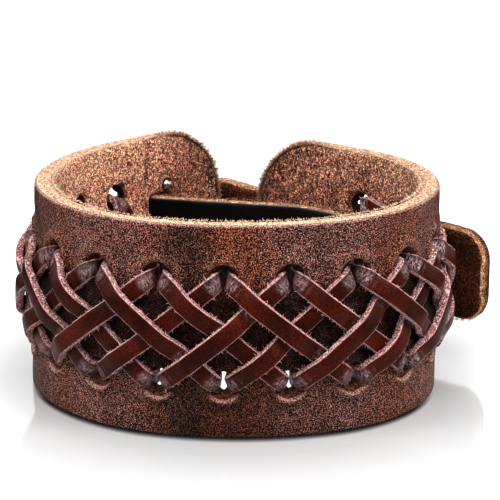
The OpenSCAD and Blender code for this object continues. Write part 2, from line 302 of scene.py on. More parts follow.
def grain_leather(look):
    """Worn outside of the band: dark patches, warm patches and fine pale grain, with painted shade between
    and under the laces and low on the front, and painted highlights on the lips of the holes.
    """
    m = Shader("band_grain")
    tone = m.mark("tone")
    cloud = m.noise(BAND_CLOUD, 4, 0.6, m.stretch((1, 1, 0.45)))
    mottle = m.noise(BAND_MOTTLE, 3, 0.6)
    warm = m.math("ADD", tone, m.ramp(cloud, 0.3, 0.7, -0.35, 0.35))
    warm = m.math("ADD", warm, m.ramp(mottle, 0.3, 0.7, -0.2, 0.2))
    base = m.blend(m.ramp(warm, -0.55, 0.6), look.dark, look.warm)
    grey = m.math("MULTIPLY", m.mark("pink"), m.ramp(mottle, 0.3, 0.6, 0.4, 1.0))
    base = m.blend(grey, base, look.pink)
    halo = m.math("MULTIPLY", m.mark("halo"), m.ramp(mottle, 0.3, 0.6))
    base = m.blend(m.math("MULTIPLY", halo, 0.7), base, look.halo)
    pebble = m.ramp(m.cells(look.pebbles), 0.1, 0.62, 0.65, 0.35)
    speck = m.math("ADD", m.noise(BAND_SPECK, 2, 0.7, twist=0.6), pebble)
    speck = m.math("MULTIPLY", speck, 0.5)
    coarse = m.noise(BAND_COARSE, 2, 0.6, m.stretch((1, 1, 0.4)))
    base = m.gain(base, m.math("MINIMUM", speck, 0.54), 0.48, look.grain_contrast)
    base = m.gain(base, coarse, 0.5, 1.5)
    share = m.math("MULTIPLY", m.ramp(speck, 0.5, 0.57, 0.0, 0.95), m.ramp(warm, -0.8, 0.5, 0.7, 1.0))
    base = m.blend(share, base, m.blend(grey, look.pale, look.pale_pink))
    base = m.blend(m.ramp(speck, 0.48, 0.43, 0.0, 0.95), base, look.deep)
    # painted shade between and under the laces
    deep = m.math("MULTIPLY", m.mark("deep"), m.ramp(mottle, 0.25, 0.65, 1.0, 0.7))
    base = m.blend(m.math("MULTIPLY", deep, 0.93), base, look.deep)
    # painted shade low on the front of the band
    base = m.blend(m.math("MULTIPLY", m.mark("dim"), 0.55), base, look.deep)
    # pale worn line along the rims, and painted highlights on the lips of the holes
    line = m.math("MULTIPLY", m.mark("wear"), m.ramp(speck, 0.38, 0.52, 0.0, 0.8))
    base = m.blend(line, base, look.worn)
    wrinkle = m.cells(BAND_WRINKLE, "SMOOTH_F1")
    relief = m.bump(speck, 0.5, 0.0004, m.bump(wrinkle, 0.3, 0.0003))
    return m.finish(Base_Color=base, Roughness=m.ramp(speck, 0.35, 0.65, 0.62, 0.42), Normal=relief,
                    Specular_IOR_Level=0.15)


def suede(name, base, dark, light, rim, contrast=1.0):
    """Fuzzy flesh side: short fibres with dark pits between them, paler along the rim, with painted light
    where the glow mark is set and painted shade where the shade mark is set.
    """
    m = Shader(name)
    speck = m.noise(FLESH_SPECK, 2, 0.75, twist=1.0)
    pit = m.noise(FLESH_PIT, 3, 0.8, twist=1.5)
    cloud = m.noise(FLESH_CLOUD, 3, 0.6)
    colour = m.blend(m.ramp(cloud, 0.35, 0.7, 0.0, 0.5), base, light)
    # painted light where the glow mark is set
    colour = m.blend(m.math("MULTIPLY", m.mark("glow"), 0.75), colour, light)
    # painted shade where the shade mark is set
    colour = m.blend(m.math("MULTIPLY", m.mark("shade"), 0.75), colour, dark)
    colour = m.gain(colour, m.math("MINIMUM", speck, 0.6), 0.5, 12.0 * contrast)
    edge = m.ramp(m.mark("shade"), 0, 1, 0.5, 0.55)
    pits = m.node("ShaderNodeMapRange", inputs={"Value": pit, "From Min": edge, "From Max": 0.44})
    pits = m.math("MULTIPLY", pits, m.ramp(m.mark("glow"), 0, 1, 0.95, 0.7))
    colour = m.blend(m.math("MULTIPLY", pits, contrast), colour, dark)
    crack = m.noise(FLESH_CRACK, 2, 0.6, m.stretch((1.6, 1.6, 0.6)), twist=0.8)
    crack = m.ramp(m.math("ABSOLUTE", m.math("SUBTRACT", crack, 0.5)), 0.05, 0.01)
    crack = m.math("MULTIPLY", crack, m.ramp(m.mark("shade"), 0.08, 0.3))
    colour = m.blend(crack, colour, dark)
    colour = m.blend(m.math("MULTIPLY", m.mark("rim"), m.ramp(speck, 0.38, 0.5, 0.2, 1.0)), colour, rim)
    relief = m.bump(speck, 0.6, 0.0005, m.bump(pit, 0.9, 0.0009))
    return m.finish(Base_Color=colour, Roughness=0.95, Normal=relief, Specular_IOR_Level=0.12,
                    Sheen_Weight=0.08, Sheen_Roughness=0.6)


def cut_edge(name, pale, mid, dark, fuzzy):
    """Cut leather seen on end: pale, with fibres and darker specks, turning fuzzy where the shade mark is
    set, which on the band is painted shade.
    """
    m = Shader(name)
    speck = m.noise(CUT_SPECK, 3, 0.7)
    layer = m.noise(CUT_LAYER, 3, 0.6, m.stretch((1, 1, 2.5)))
    colour = m.blend(m.ramp(layer, 0.38, 0.62), mid, pale)
    colour = m.blend(m.math("MULTIPLY", m.mark("inside"), m.ramp(speck, 0.35, 0.6, 0.95, 0.6)), colour, mid)
    # the fuzzy colour where the shade mark is set: painted shade on the band's rim and upper hole walls,
    # and the dark outer half of the tab's edge
    colour = m.blend(m.mark("shade"), colour, fuzzy)
    colour = m.gain(colour, speck, 0.53, 6.0)
    colour = m.blend(m.math("MULTIPLY", m.ramp(speck, 0.46, 0.38), 0.85), colour, dark)
    relief = m.bump(speck, 0.8, 0.0006)
    return m.finish(Base_Color=colour, Roughness=0.9, Normal=relief, Specular_IOR_Level=0.15)


def lace_grain(look):
    """Smooth waxed face of a lace, with fine wrinkles at its bends, painted highlights on them with painted
    shade in the folds between, and a painted highlight along its edges.
    """
    m = Shader("lace_grain")
    cloud = m.noise(LACE_CLOUD, 2, 0.5)
    speck = m.noise(LACE_SPECK, 2, 0.6)
    colour = m.blend(m.ramp(cloud, 0.35, 0.7), look.grain_dark, look.grain_red)
    colour = m.gain(colour, speck, 0.5, 3.6)
    # painted highlight along the edges of the face
    edge = m.math("MULTIPLY", m.mark("edge"), m.ramp(speck, 0.3, 0.5))
    colour = m.blend(edge, colour, look.edge_highlight)
    strip = m.node("ShaderNodeCombineXYZ", inputs={
        0: m.math("MULTIPLY", m.mark("run"), CRINKLE_RUN),
        1: m.math("MULTIPLY", m.mark("wide"), CRINKLE_WIDE), 2: 0.0})
    crinkle = m.noise(1.0, 4, 0.8, strip, twist=0.7)
    crease = m.math("MULTIPLY", m.mark("crease"), crinkle)
    # painted shade in the folds between the wrinkles
    fold_shade = m.math("MULTIPLY", m.mark("crease"), m.ramp(crinkle, 0.5, 0.36, 0.0, 0.7))
    colour = m.blend(fold_shade, colour, look.fold_shade)
    # painted highlight on the wrinkles of the bends, strongest in the middle of the width
    inward = m.ramp(m.math("ABSOLUTE", m.mark("wide")), 0.1, 0.48, 1.0, 0.15)
    shine = m.ramp(crinkle, 0.43, 0.6, 0.0, 0.95)
    sharp = m.math("POWER", m.mark("crease"), 1.4)
    bend_highlight = m.math("MULTIPLY", sharp, m.math("MULTIPLY", inward, shine))
    colour = m.blend(bend_highlight, colour, look.bend_highlight)
    relief = m.bump(crease, 1.0, 0.0006, m.bump(speck, 0.4, 0.0002))
    return m.finish(Base_Color=colour, Roughness=m.ramp(m.mark("crease"), 0, 1, 0.34, 0.24), Normal=relief,
                    Specular_IOR_Level=0.17, Specular_Tint=(1.0, 0.90, 0.88))


def strap_grain(look):
    """Smooth black-brown face of the closing strap, with a painted highlight along its edges."""
    m = Shader("strap_grain")
    speck = m.noise(STRAP_SPECK, 3, 0.6)
    colour = m.blend(m.ramp(m.noise(STRAP_CLOUD, 3), 0.35, 0.7), look.grain, look.grain_light)
    # painted highlight along the edges of the face
    colour = m.blend(m.math("MULTIPLY", m.mark("edge"), 0.5), colour, look.edge_highlight)
    wrinkle = m.cells(STRAP_WRINKLE, "SMOOTH_F1")
    relief = m.bump(wrinkle, 0.25, 0.0003, m.bump(speck, 0.25, 0.0002))
    return m.finish(Base_Color=colour, Roughness=m.ramp(speck, 0.3, 0.7, 0.38, 0.5), Normal=relief,
                    Specular_IOR_Level=0.14)


def nickel(look):
    """Polished nickel plate with faint rub marks."""
    m = Shader("nickel_plate")
    rub = m.noise(NICKEL_RUB, 4, 0.6)
    colour = m.blend(m.ramp(rub, 0.35, 0.7), look.metal, look.metal_dark)
    return m.finish(Base_Color=colour, Metallic=1.0, Roughness=m.ramp(rub, 0.3, 0.7, 0.16, 0.32),
                    Normal=m.bump(rub, 0.08, 0.0001))


def fibres_material(name, pale, dark):
    """Loose hairs, each of its own shade."""
    m = Shader(name)
    colour = m.blend(m.mark("shade"), pale, dark)
    return m.finish(Base_Color=colour, Roughness=0.9, Specular_IOR_Level=0.15)


# Band


def row_z(row, k):
    """Height of the middle of hole k of a row."""
    return MID_Z + ROW_SIDE[row] * (ROW_GAP / 2 - ROW_CLOSE * abs(2 * k / (HOLE_COUNT - 1) - 1) ** 3)


def hole_s(k):
    """Place along the band of hole k."""
    return FIRST_HOLE + k * HOLE_PITCH


# The strap's distance from the middle of the leather, its turn and its slot, then the posts in the band:
# distance from the nearer tip, height or distance from the strap's middle, and radius
STRAP_OFF = FACE + GAP + STRAP_T / 2
TURN_R = STRAP_T / 2 + 1.7
SLOT_W = TURN_R + STRAP_T / 2 + GAP
SLOT_H = NECK_W + 0.6
SLOT_HALF = np.array([SLOT_W / 2, SLOT_H / 2])
SLOT_CORNER = 0.6
SNAP_U, SNAP_Z, SNAP_POST = 6.2, MID_Z - 1, 1.7
ANCHOR_U, ANCHOR_POST = 16.7, 1.3
RIVET_U, RIVET_SIDE, RIVET_POST = SLOT_AT + 0.7, SLOT_H / 2 + 1.4, 0.7

# Round cuts in the band: distance along it, height, radius, and how much the leather puckers there
CUT_S, CUT_Z, CUT_R, PUCKER = 0, 1, 2, 3


def round_cuts():
    """Table of the lacing holes and the posts' holes."""
    rows = [(hole_s(k), row_z(row, k), HOLE_R, 1) for k in range(HOLE_COUNT) for row in (LOWER, UPPER)]
    rows += [(RIVET_U, STRAP_MID + side * RIVET_SIDE, RIVET_POST, 0) for side in ROW_SIDE]
    rows.append((BAND_LENGTH - SNAP_U, SNAP_Z, SNAP_POST, 0))
    rows.append((BAND_LENGTH - ANCHOR_U, STRAP_MID, ANCHOR_POST, 0))
    return np.array(rows, float)


CUTS = round_cuts()
SLOT_CENTRE = (SLOT_AT + SLOT_W / 2, STRAP_MID)
BAND_HALF = np.array([BAND_LENGTH / 2, MID_Z])


def box_depth(s, z, centre, half, corner):
    """How far a point lies inside a box with round corners, negative outside."""
    qs = np.abs(s - centre[0]) - half[0] + corner
    qz = np.abs(z - centre[1]) - half[1] + corner
    return corner - np.hypot(np.maximum(qs, 0), np.maximum(qz, 0)) - np.minimum(np.maximum(qs, qz), 0)


def edge_distances(s, z):
    """Distance of points of the flat band to its outline, its slot and each round cut."""
    outline = box_depth(s, z, BAND_HALF, BAND_HALF, TIP_R)
    slot = -box_depth(s, z, SLOT_CENTRE, SLOT_HALF, SLOT_CORNER)
    cuts = np.hypot(s[:, None] - CUTS[:, CUT_S], z[:, None] - CUTS[:, CUT_Z]) - CUTS[:, CUT_R]
    return outline, slot, cuts


def box_ring(centre, half, corner, step):
    """Points round a box with round corners, with the box's inside on the left."""
    points = []
    for turn, (sx, sz) in enumerate(((1, -1), (1, 1), (-1, 1), (-1, -1))):
        c = (centre[0] + sx * (half[0] - corner), centre[1] + sz * (half[1] - corner))
        steps = max(3, int(math.ceil(corner * math.pi / 2 / step)))
        a = np.radians(-90 + 90 * turn + 90 * np.arange(steps + 1) / steps)
        arc = np.stack([c[0] + corner * np.cos(a), c[1] + corner * np.sin(a)], -1)
        if points:
            points.append(between(points[-1][-1], arc[0], step))
        points.append(arc)
    points.append(between(points[-1][-1], points[0][0], step))
    return np.concatenate(points)


def between(a, b, step):
    """Points strictly between two points, about a step apart."""
    n = int(math.ceil(np.linalg.norm(b - a) / step))
    t = np.arange(1, n)[:, None] / max(n, 1)
    return mix(a, b, t)


# Spacing of the band's points: rings at these distances from each edge, then a grid of staggered rows
EDGE_OFFSETS = (0.12, 0.28, 0.5, 0.8, 1.2)
HOLE_OFFSETS = (0.12, 0.28, 0.5, 0.8, 1.15, 1.55, 2.0)
POST_REACH = 0.9
RING_STEP = 0.32
RING_GROWTH = 0.1
HOLE_SIDES, POST_SIDES = 44, 20
GRID_STEP = 0.62
ROW_STEP = GRID_STEP * 0.87
CLEAR_OF_EDGE = 1.55
CLEAR_OF_HOLE = 2.35
CLEAR_OF_POST = 1.1


def cut_ring(cut, away=0):
    """Points round a round cut, at a distance from its edge."""
    s, z, r, pucker = cut
    count = HOLE_SIDES if pucker else POST_SIDES
    a = -2 * math.pi * np.arange(count) / count
    return np.stack([s + (r + away) * np.cos(a), z + (r + away) * np.sin(a)], -1)


def inner_points():
    """Points of the unrolled band away from its edge loops: rings beside the edges and a grid."""
    soft = []
    for e in EDGE_OFFSETS:
        soft.append((e, box_ring(BAND_HALF, BAND_HALF - e, TIP_R - e, RING_STEP + RING_GROWTH * e)))
        soft.append((e, box_ring(SLOT_CENTRE, SLOT_HALF + e, SLOT_CORNER + e, RING_STEP)))
    for e in HOLE_OFFSETS:
        soft += [(e, cut_ring(cut, e)) for cut in CUTS if cut[PUCKER] or e < POST_REACH]
    inner = []
    for e, ring in soft:
        outline, slot, cuts = edge_distances(ring[:, 0], ring[:, 1])
        nearest = np.minimum(np.minimum(outline, slot), cuts.min(1))
        inner.append(ring[nearest > e - 0.01])
    for n, z in enumerate(np.arange(GRID_STEP / 2, BAND_H, ROW_STEP)):
        s = np.arange(GRID_STEP * (0.5 + 0.5 * (n % 2)), BAND_LENGTH, GRID_STEP)
        zs = np.full_like(s, z)
        outline, slot, cuts = edge_distances(s, zs)
        need = np.where(CUTS[:, PUCKER] > 0, CLEAR_OF_HOLE, CLEAR_OF_POST)
        keep = (np.minimum(outline, slot) > CLEAR_OF_EDGE) & (cuts > need).all(1)
        inner.append(np.stack([s, zs], -1)[keep])
    return inner


def flat_band():
    """Points and triangles of the unrolled band, and its edge loops as lists of point numbers."""
    loops = [box_ring(BAND_HALF, BAND_HALF, TIP_R, RING_STEP)]
    loops.append(box_ring(SLOT_CENTRE, SLOT_HALF, SLOT_CORNER, RING_STEP)[::-1])
    loops += [cut_ring(cut) for cut in CUTS]
    points = np.concatenate(loops + inner_points())
    starts = np.cumsum([0] + [len(l) for l in loops])
    edges = []
    for a, b in zip(starts[:-1], starts[1:]):
        edges += [(i, i + 1 if i + 1 < b else a) for i in range(a, b)]
    found = delaunay_2d_cdt([Vector(p) for p in points], edges, [], 0, 1e-6)
    places = np.array([(v.x, v.y) for v in found[0]])
    number = {old: new for new, olds in enumerate(found[3]) for old in olds}
    triangles = np.array(found[2])
    middle = places[triangles].mean(1)
    outline, slot, cuts = edge_distances(middle[:, 0], middle[:, 1])
    triangles = triangles[(outline > 0) & (slot > 0) & (cuts.min(1) > 0)]
    a, b, c = (places[triangles[:, i]] for i in range(3))
    turn = (b[:, 0] - a[:, 0]) * (c[:, 1] - a[:, 1]) - (b[:, 1] - a[:, 1]) * (c[:, 0] - a[:, 0])
    triangles[turn < 0] = triangles[turn < 0][:, ::-1]
    chains = [[number[i] for i in range(a, b)] for a, b in zip(starts[:-1], starts[1:])]
    return places, triangles, chains


def rounding(d, r):
    """Drop of a face at distance d from an edge rounded with radius r."""
    t = np.clip(d, 0, r)
    return r - np.sqrt(np.maximum(r * r - (r - t) ** 2, 0))


# Charted warm and dark patches of the band: distance along it, half width and warmth
PATCHES = (
    (10, 5, 0.2), (28, 6, -0.4), (42, 6, 0.3), (54, 4, -0.3), (69, 4.5, 0.9), (75.5, 2.5, -0.3),
    (82, 2.5, 0.45), (89, 2.6, -1.15), (95, 6, 0.9), (104, 3, -0.1), (112, 5, -0.35), (121, 4, 0.5),
    (130, 5, 0.7), (143, 6, 0.5), (156, 6, -0.5), (170, 7, 0.3),
)

# Greyish-pink worn patches: distance along it, half width and strength
PINK_PATCHES = (
    (104, 5, 0.75), (113.5, 5, 0.8), (71, 4, 0.95), (79, 4, 0.75), (130, 7, 0.75), (62, 3, 0.4),
    (148, 8, 0.4),
)

# How far the edges are rounded on the outside and on the flesh side
EDGE_ROUND = 0.38
FLESH_ROUND = 0.9

# Crease across the upper part of the flesh side near the left end: place, width, foot and height
CREASE_S, CREASE_WIDTH, CREASE_FOOT, CREASE_RISE = 16.9, 0.35, 9, 0.25

# Slow waves of the outside and the flesh side: height, size and seed
FACE_WAVES = ((0.10, 9, 3), (0.05, 3.5, 4))
FLESH_WAVES = ((0.10, 1.3, 7), (0.12, 5, 8))

# Dip of the outside round a lacing hole, beyond its lip: depth, distance from the edge and width
DIP, DIP_AT, DIP_WIDTH = 0.16, 2.2, 0.9

# Painted shade between and under the laces: half its height, its reach past the outer holes, and the
# lengths over which it fades upwards and along the band
FIELD_HALF, FIELD_PAST, FIELD_FADE_Z, FIELD_FADE_S = 8.2, 2, 3, 4

# Rows of points on the cut walls, as shares of the thickness
WALL_ROWS = (0.12, 0.26, 0.42, 0.58, 0.74, 0.88)

# Swelling of a lacing hole's wall at half the thickness: all round, the share that its outer part is
# squeezed by, the extra on the side of the upper holes that faces the middle, and the extra on the
# far side of the lower holes
BULGE, SQUEEZE, INNER_FILL, OUTER_FILL = 0.34, 0.62, 1.75, 1.1

# Where the painted light and painted shade lie along the band: the lit front of the rim, the two lit
# stretches of the flesh side, the low stretch of the outside with painted shade, and the stretches with
# painted shade at the two ends and at the right
FRONT_S, FRONT_WIDTH = 93, 32
LIT = ((38, 16), (148, 14))
DIM_S, DIM_WIDTH = 95, 11
END_LENGTH, RIM_END_LENGTH = 17, 16
RIGHT_SHADE_FROM, RIGHT_SHADE_LENGTH = 118, 40


def under_laces(s, z):
    """How much painted shade a place on the band's outside gets between and under the laces."""
    inside = ease((FIELD_HALF - np.abs(z - MID_Z)) / FIELD_FADE_Z)
    inside = inside * ease((s - hole_s(0) + FIELD_PAST) / FIELD_FADE_S)
    return inside * ease((hole_s(HOLE_COUNT - 1) + FIELD_PAST - s) / FIELD_FADE_S)


def band_relief(s, z, outline, cuts, look):
    """How far the outside stands proud of flat: lips and dips at the holes, and slow waves."""
    r = CUTS[:, CUT_R]
    lip = bell(cuts - look.lip_at / MM, look.lip_width / MM) * look.lip / MM
    away = (z[:, None] - CUTS[:, CUT_Z]) * np.sign(CUTS[:, CUT_Z] - MID_Z) / (cuts + r)
    lip = lip * (0.65 + 0.45 * away) * CUTS[:, PUCKER]
    dip = -DIP * bell(cuts - DIP_AT, DIP_WIDTH) * CUTS[:, PUCKER]
    wave = waves(np.stack([s, z, 0 * s], -1), FACE_WAVES)
    return (lip + dip).sum(1) + wave * np.clip(outline / 2, 0, 1)


def wall_bulge(chain, s, z, t, n):
    """How far a loop's wall swells into its hole at a share t of the thickness, as steps in s and z."""
    step = np.zeros((len(chain), 2))
    if n < 2 or CUTS[n - 2, PUCKER] == 0:
        return step
    centre = CUTS[n - 2]
    from_centre = np.stack([s[chain] - centre[CUT_S], z[chain] - centre[CUT_Z]], -1)
    swell = math.sin(math.pi * t)
    row = 1 if centre[CUT_Z] > MID_Z else -1
    away = np.clip(row * from_centre[:, 1] / centre[CUT_R], -1, 1)
    step -= unit(from_centre) * (BULGE * swell)
    step[:, 0] -= from_centre[:, 0] * SQUEEZE * swell * ease(away * 1.5)
    step[:, 1] += INNER_FILL * swell * ease(-away) if row > 0 else OUTER_FILL * swell * ease(away)
    return step


def wall_shade(s, n):
    """Painted shade on the wall of loop n: on the rim towards the band's ends and away from its lit front,
    and in the upper holes.
    """
    if n == 0:
        at_end = np.clip(1 - np.minimum(s, BAND_LENGTH - s) / RIM_END_LENGTH, 0, 1)
        aside = 0.5 * (1 - bell(s - FRONT_S, FRONT_WIDTH))
        return np.maximum(np.clip(at_end * 2, 0, 1), aside)
    upper = n > 1 and CUTS[n - 2, CUT_Z] > MID_Z
    return 0 * s + 0.55 * upper


def face_marks(s, z, outline, cuts, near, crease):
    """Marks of worn and coloured patches, of painted highlights, painted light and painted shade, each for
    the points of the outside and of the flesh side.
    """
    spot = np.stack([s, z, 0 * s], -1)
    tone = sum(w * bell(s + 1.2 * noise(spot, 6, 11) - at, width) for at, width, w in PATCHES)
    tone = tone + 0.35 * noise(spot * (1, 0.6, 1), 5, 12)
    pink = np.clip(sum(w * bell(s - at, width) for at, width, w in PINK_PATCHES), 0, 1)
    # painted shade low on the front of the outside
    dim = bell(s - DIM_S, DIM_WIDTH) * ease((11 - z) / 5)
    weight = CUTS[:, PUCKER]
    halo = np.clip((bell(cuts - 0.5, 1.1) * weight).sum(1), 0, 1)
    row = np.sign(CUTS[:, CUT_Z] - MID_Z)
    away = (z[:, None] - CUTS[:, CUT_Z]) * row / (cuts + CUTS[:, CUT_R])
    # painted highlights on the lips of the holes, strongest on the lower row
    lip_highlight = bell(cuts - 0.2, 0.19) * ease((away - 0.35) / 0.5)
    lip_highlight = lip_highlight * np.where(row < 0, 1.0, 0.3) * weight
    wear = np.clip(bell(outline - 0.1, 0.15) + lip_highlight.sum(1), 0, 1)
    # painted light on the flesh side: the two lit stretches, its top, and along the rim at the lit front
    side_light = sum(bell(s - at, width) for at, width in LIT)
    top_light = bell(z - BAND_H, 4)
    ends = np.clip(1 - np.minimum(s, BAND_LENGTH - s) / END_LENGTH, 0, 1)
    front = bell(s - FRONT_S, FRONT_WIDTH)
    glow = np.clip(0.65 * side_light + 0.6 * top_light + front * bell(outline, 0.9), 0, 1)
    glow = glow * (1 - 0.8 * ends)
    # pale cut rim of the flesh side, painted stronger on the lit front
    rim = bell(outline, 0.75) * (0.15 + 0.85 * front) * (1 - np.clip(ends * 2.5, 0, 1))
    # painted shade: towards the two ends, in the crease and at the right
    at_end = ends * (np.where(s < BAND_LENGTH / 2, 0.22, 0.04) + 0.2 * bell(near, 2.5))
    far_right = 0.2 * ease((s - RIGHT_SHADE_FROM) / RIGHT_SHADE_LENGTH)
    shade = np.clip(np.maximum(at_end, 0.5 * crease) + far_right, 0, 1)
    none = 0 * s
    return {"tone": [tone, tone], "halo": [halo, none], "wear": [wear, none], "pink": [pink, none],
            "deep": [under_laces(s, z), none], "dim": [dim, none], "inside": [none, none],
            "glow": [glow, glow], "rim": [none, rim], "shade": [none, shade]}


def build_band(look, materials):
    """The band's leather: outside, flesh side and cut walls as one closed mesh."""
    flat, triangles, chains = flat_band()
    s, z = flat[:, 0], flat[:, 1]
    outline, slot, cuts = edge_distances(s, z)
    outline, slot, cuts = (np.maximum(d, 0) for d in (outline, slot, cuts))
    near = np.minimum(np.minimum(outline, slot), cuts.min(1))
    spot = np.stack([s, z, 0 * s], -1)
    outer_h = FACE - rounding(near, EDGE_ROUND) + band_relief(s, z, outline, cuts, look)
    crease = bell(s - CREASE_S - 0.15 * noise(spot, 4, 9), CREASE_WIDTH) * ease((z - CREASE_FOOT) / 3)
    uneven = waves(spot, FLESH_WAVES) + CREASE_RISE * crease
    inner_h = -FACE + rounding(near, FLESH_ROUND) + uneven * np.clip(near / 0.6, 0, 1)
    count = len(s)
    layers = [place(s, z, outer_h), place(s, z, inner_h)]
    marks = face_marks(s, z, outline, cuts, near, crease)
    faces = [tuple(t) for t in triangles] + [tuple(t[::-1] + count) for t in triangles]
    kinds = [0] * len(triangles) + [1] * len(triangles)
    total = 2 * count
    for n, chain in enumerate(chains):
        chain = np.array(chain)
        cs, cz = s[chain], z[chain]
        back, forward = np.roll(flat[chain], 1, 0), np.roll(flat[chain], -1, 0)
        along = unit(forward - back)
        out = np.stack([along[:, 1], -along[:, 0]], -1)
        rings = [chain]
        for t in WALL_ROWS:
            h = mix(outer_h[chain], inner_h[chain], t)
            p = np.stack([cs, cz, h], -1)
            rough = 0.1 * noise(p, 0.55, 21 + n) + 0.06 * noise(p, 1.6, 31)
            rough = (0.5 + t) * rough - 0.05
            push = rough[:, None] * out + wall_bulge(chain, s, z, t, n)
            new_z = np.maximum(cz + push[:, 1], 0)
            layers.append(place(cs + push[:, 0], new_z, h))
            rings.append(total + np.arange(len(chain)))
            total += len(chain)
            for key in ("tone", "halo", "wear", "pink", "deep", "dim", "rim"):
                marks[key].append(0 * h)
            marks["inside"].append(0 * h + ease((t - look.rim_line) / 0.4))
            marks["glow"].append(0 * h + (0.5 if n == 0 else 0))
            marks["shade"].append(wall_shade(cs, n))
        rings.append(chain + count)
        for a, b in zip(rings[:-1], rings[1:]):
            a2, b2 = np.roll(a, -1), np.roll(b, -1)
            faces += list(zip(a2.tolist(), a.tolist(), b.tolist(), b2.tolist()))
            kinds += [2 if n == 0 else 3] * len(chain)
    marks = {key: np.concatenate(parts) for key, parts in marks.items()}
    obj = make_mesh("band_leather", np.concatenate(layers), faces, materials, kinds, marks)
    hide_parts("band")


# Fibres

# A hair: how strongly it bends, how far along it the middle lies, how far the middle and the tip go
# sideways as shares of its length, and the middle's thickness as a share of the root's
HAIR_CURL, HAIR_MIDDLE, MIDDLE_BEND, TIP_BEND, MIDDLE_THICK = 0.35, 0.55, 0.2, 0.75, 0.75
BAND_HAIR_R, LACE_HAIR_R, STRAP_HAIR_R = 0.07, 0.05, 0.04

# Length at each end of the band over which its hairs grow longer and denser
HAIRY_END = 9


def build_fibres(name, roots, ways, lengths, radius, material, seed, dark=0.0):
    """Short bent hairs as three-sided spikes: roots and ways are arrays of points and directions."""
    rng = np.random.default_rng(seed)
    n = len(roots)
    ways = unit(ways)
    side = unit(np.cross(ways, rng.normal(size=(n, 3))))
    other = np.cross(ways, side)
    curl = rng.normal(size=(n, 2)) * HAIR_CURL
    bend = side * curl[:, :1] + other * curl[:, 1:]
    mid = roots + ways * lengths[:, None] * HAIR_MIDDLE + bend * lengths[:, None] * MIDDLE_BEND
    tip = roots + ways * lengths[:, None] + bend * lengths[:, None] * TIP_BEND
    shade = np.clip(rng.random(n) * 0.8 + dark, 0, 1)
    rings = []
    for centre, r in ((roots, radius), (mid, radius * MIDDLE_THICK)):
        for k in range(3):
            a = 2 * math.pi * k / 3
            rings.append(centre + r * (math.cos(a) * side + math.sin(a) * other))
    points = np.concatenate(rings + [tip])
    points[:, 2] = np.maximum(points[:, 2], 0)
    i = np.arange(n)
    faces = []
    for k in range(3):
        a, b = i + k * n, i + ((k + 1) % 3) * n
        c, d = a + 3 * n, b + 3 * n
        faces += list(zip(a.tolist(), b.tolist(), d.tolist(), c.tolist()))
        faces += list(zip(c.tolist(), d.tolist(), (i + 6 * n).tolist()))
    faces += list(zip((i + 2 * n).tolist(), (i + n).tolist(), i.tolist()))
    obj = make_mesh(name, points, faces, [material], attributes={"shade": np.tile(shade, 7)})


def band_fibres(look, material):
    """Hairs along the cut edges of the band, longest round its two ends."""
    rng = np.random.default_rng(5)
    ring = box_ring(BAND_HALF, BAND_HALF, TIP_R, 0.1)
    forward = np.roll(ring, -1, 0) - ring
    count = look.fibre_count
    pick = rng.integers(0, len(ring), count * 3)
    at = ring[pick] + forward[pick] * rng.random((len(pick), 1))
    tip = np.minimum(at[:, 0], BAND_LENGTH - at[:, 0])
    on_end = np.clip(1 - (tip - HAIRY_END) / HAIRY_END, 0, 1)
    keep = rng.random(len(pick)) < 0.25 + 0.75 * on_end
    keep &= (at[:, 1] > 3) | (on_end > 0.6)
    pick, at, on_end = (v[keep][:count] for v in (pick, at, on_end))
    along = unit(forward[pick])
    out = np.stack([along[:, 1], -along[:, 0]], -1)
    deep = rng.random(len(at)) ** 0.6
    h = mix(FACE - 0.7, -FACE, np.where(on_end > 0.3, deep, np.minimum(deep * 1.3, 1)))
    root = at - out * 0.06
    roots = place(root[:, 0], root[:, 1], h)
    lean = rng.normal(size=(len(at), 2)) * 0.55
    reach = mix(0.25, 0.9, on_end)[:, None]
    flat = root + out * 0.5 * reach + along * lean[:, :1] * 0.5
    inward = -np.where(on_end > 0.3, 0.15, 0.5) * rng.random(len(at))
    ends = place(flat[:, 0], flat[:, 1], h + inward + 0.3 * lean[:, 1])
    lengths = mix(0.4, 0.85, on_end) * (0.4 + 1.3 * rng.random(len(at)) ** 2)
    build_fibres("band_fibres", roots, ends - roots, lengths, BAND_HAIR_R, material, 6,
                 0.6 * on_end - 0.3)


# Laces

# Path of a lace: its levels on the band and over another lace, its bend out of a hole, its shift, pull
# and lean in the hole, half the length of a crossing, and how the start bows and the end rises
LOW = FACE + GAP + LACE_T / 2
HIGH = LOW + LACE_T + CROSS_GAP
BEND_R = 1.0
HOLE_SIDE = 1.05
HOLE_PULL = 0.35
HOLE_LEAN = 18.0
CROSS_HALF = 0.8
START_BOW = 2.5
END_RISE = 1.3
UPRIGHT, START_LEAN = 90, 75

# Level at each of the three crossings of an outside stretch
CROSS_FIRST = (HIGH, HIGH, LOW)
CROSS_SECOND = (HIGH, LOW, LOW)


def hole_z(row, k):
    """Height at which a lace passes hole k, pulled towards the middle of the band."""
    return row_z(row, k) - ROW_SIDE[row] * HOLE_PULL


def bend(s, z, way, side, lean_hole, lean_out, turned):
    """One row of a lace where it turns out of a hole onto the band, turned by a share."""
    a = math.pi / 2 * turned
    run = BEND_R * (1 - math.cos(a))
    return (s + way[0] * run, z + way[1] * run, side * (LOW - BEND_R + BEND_R * math.sin(a)),
            mix(lean_hole, lean_out, turned), mix(LACE_HOLE_W, LACE_W, turned))


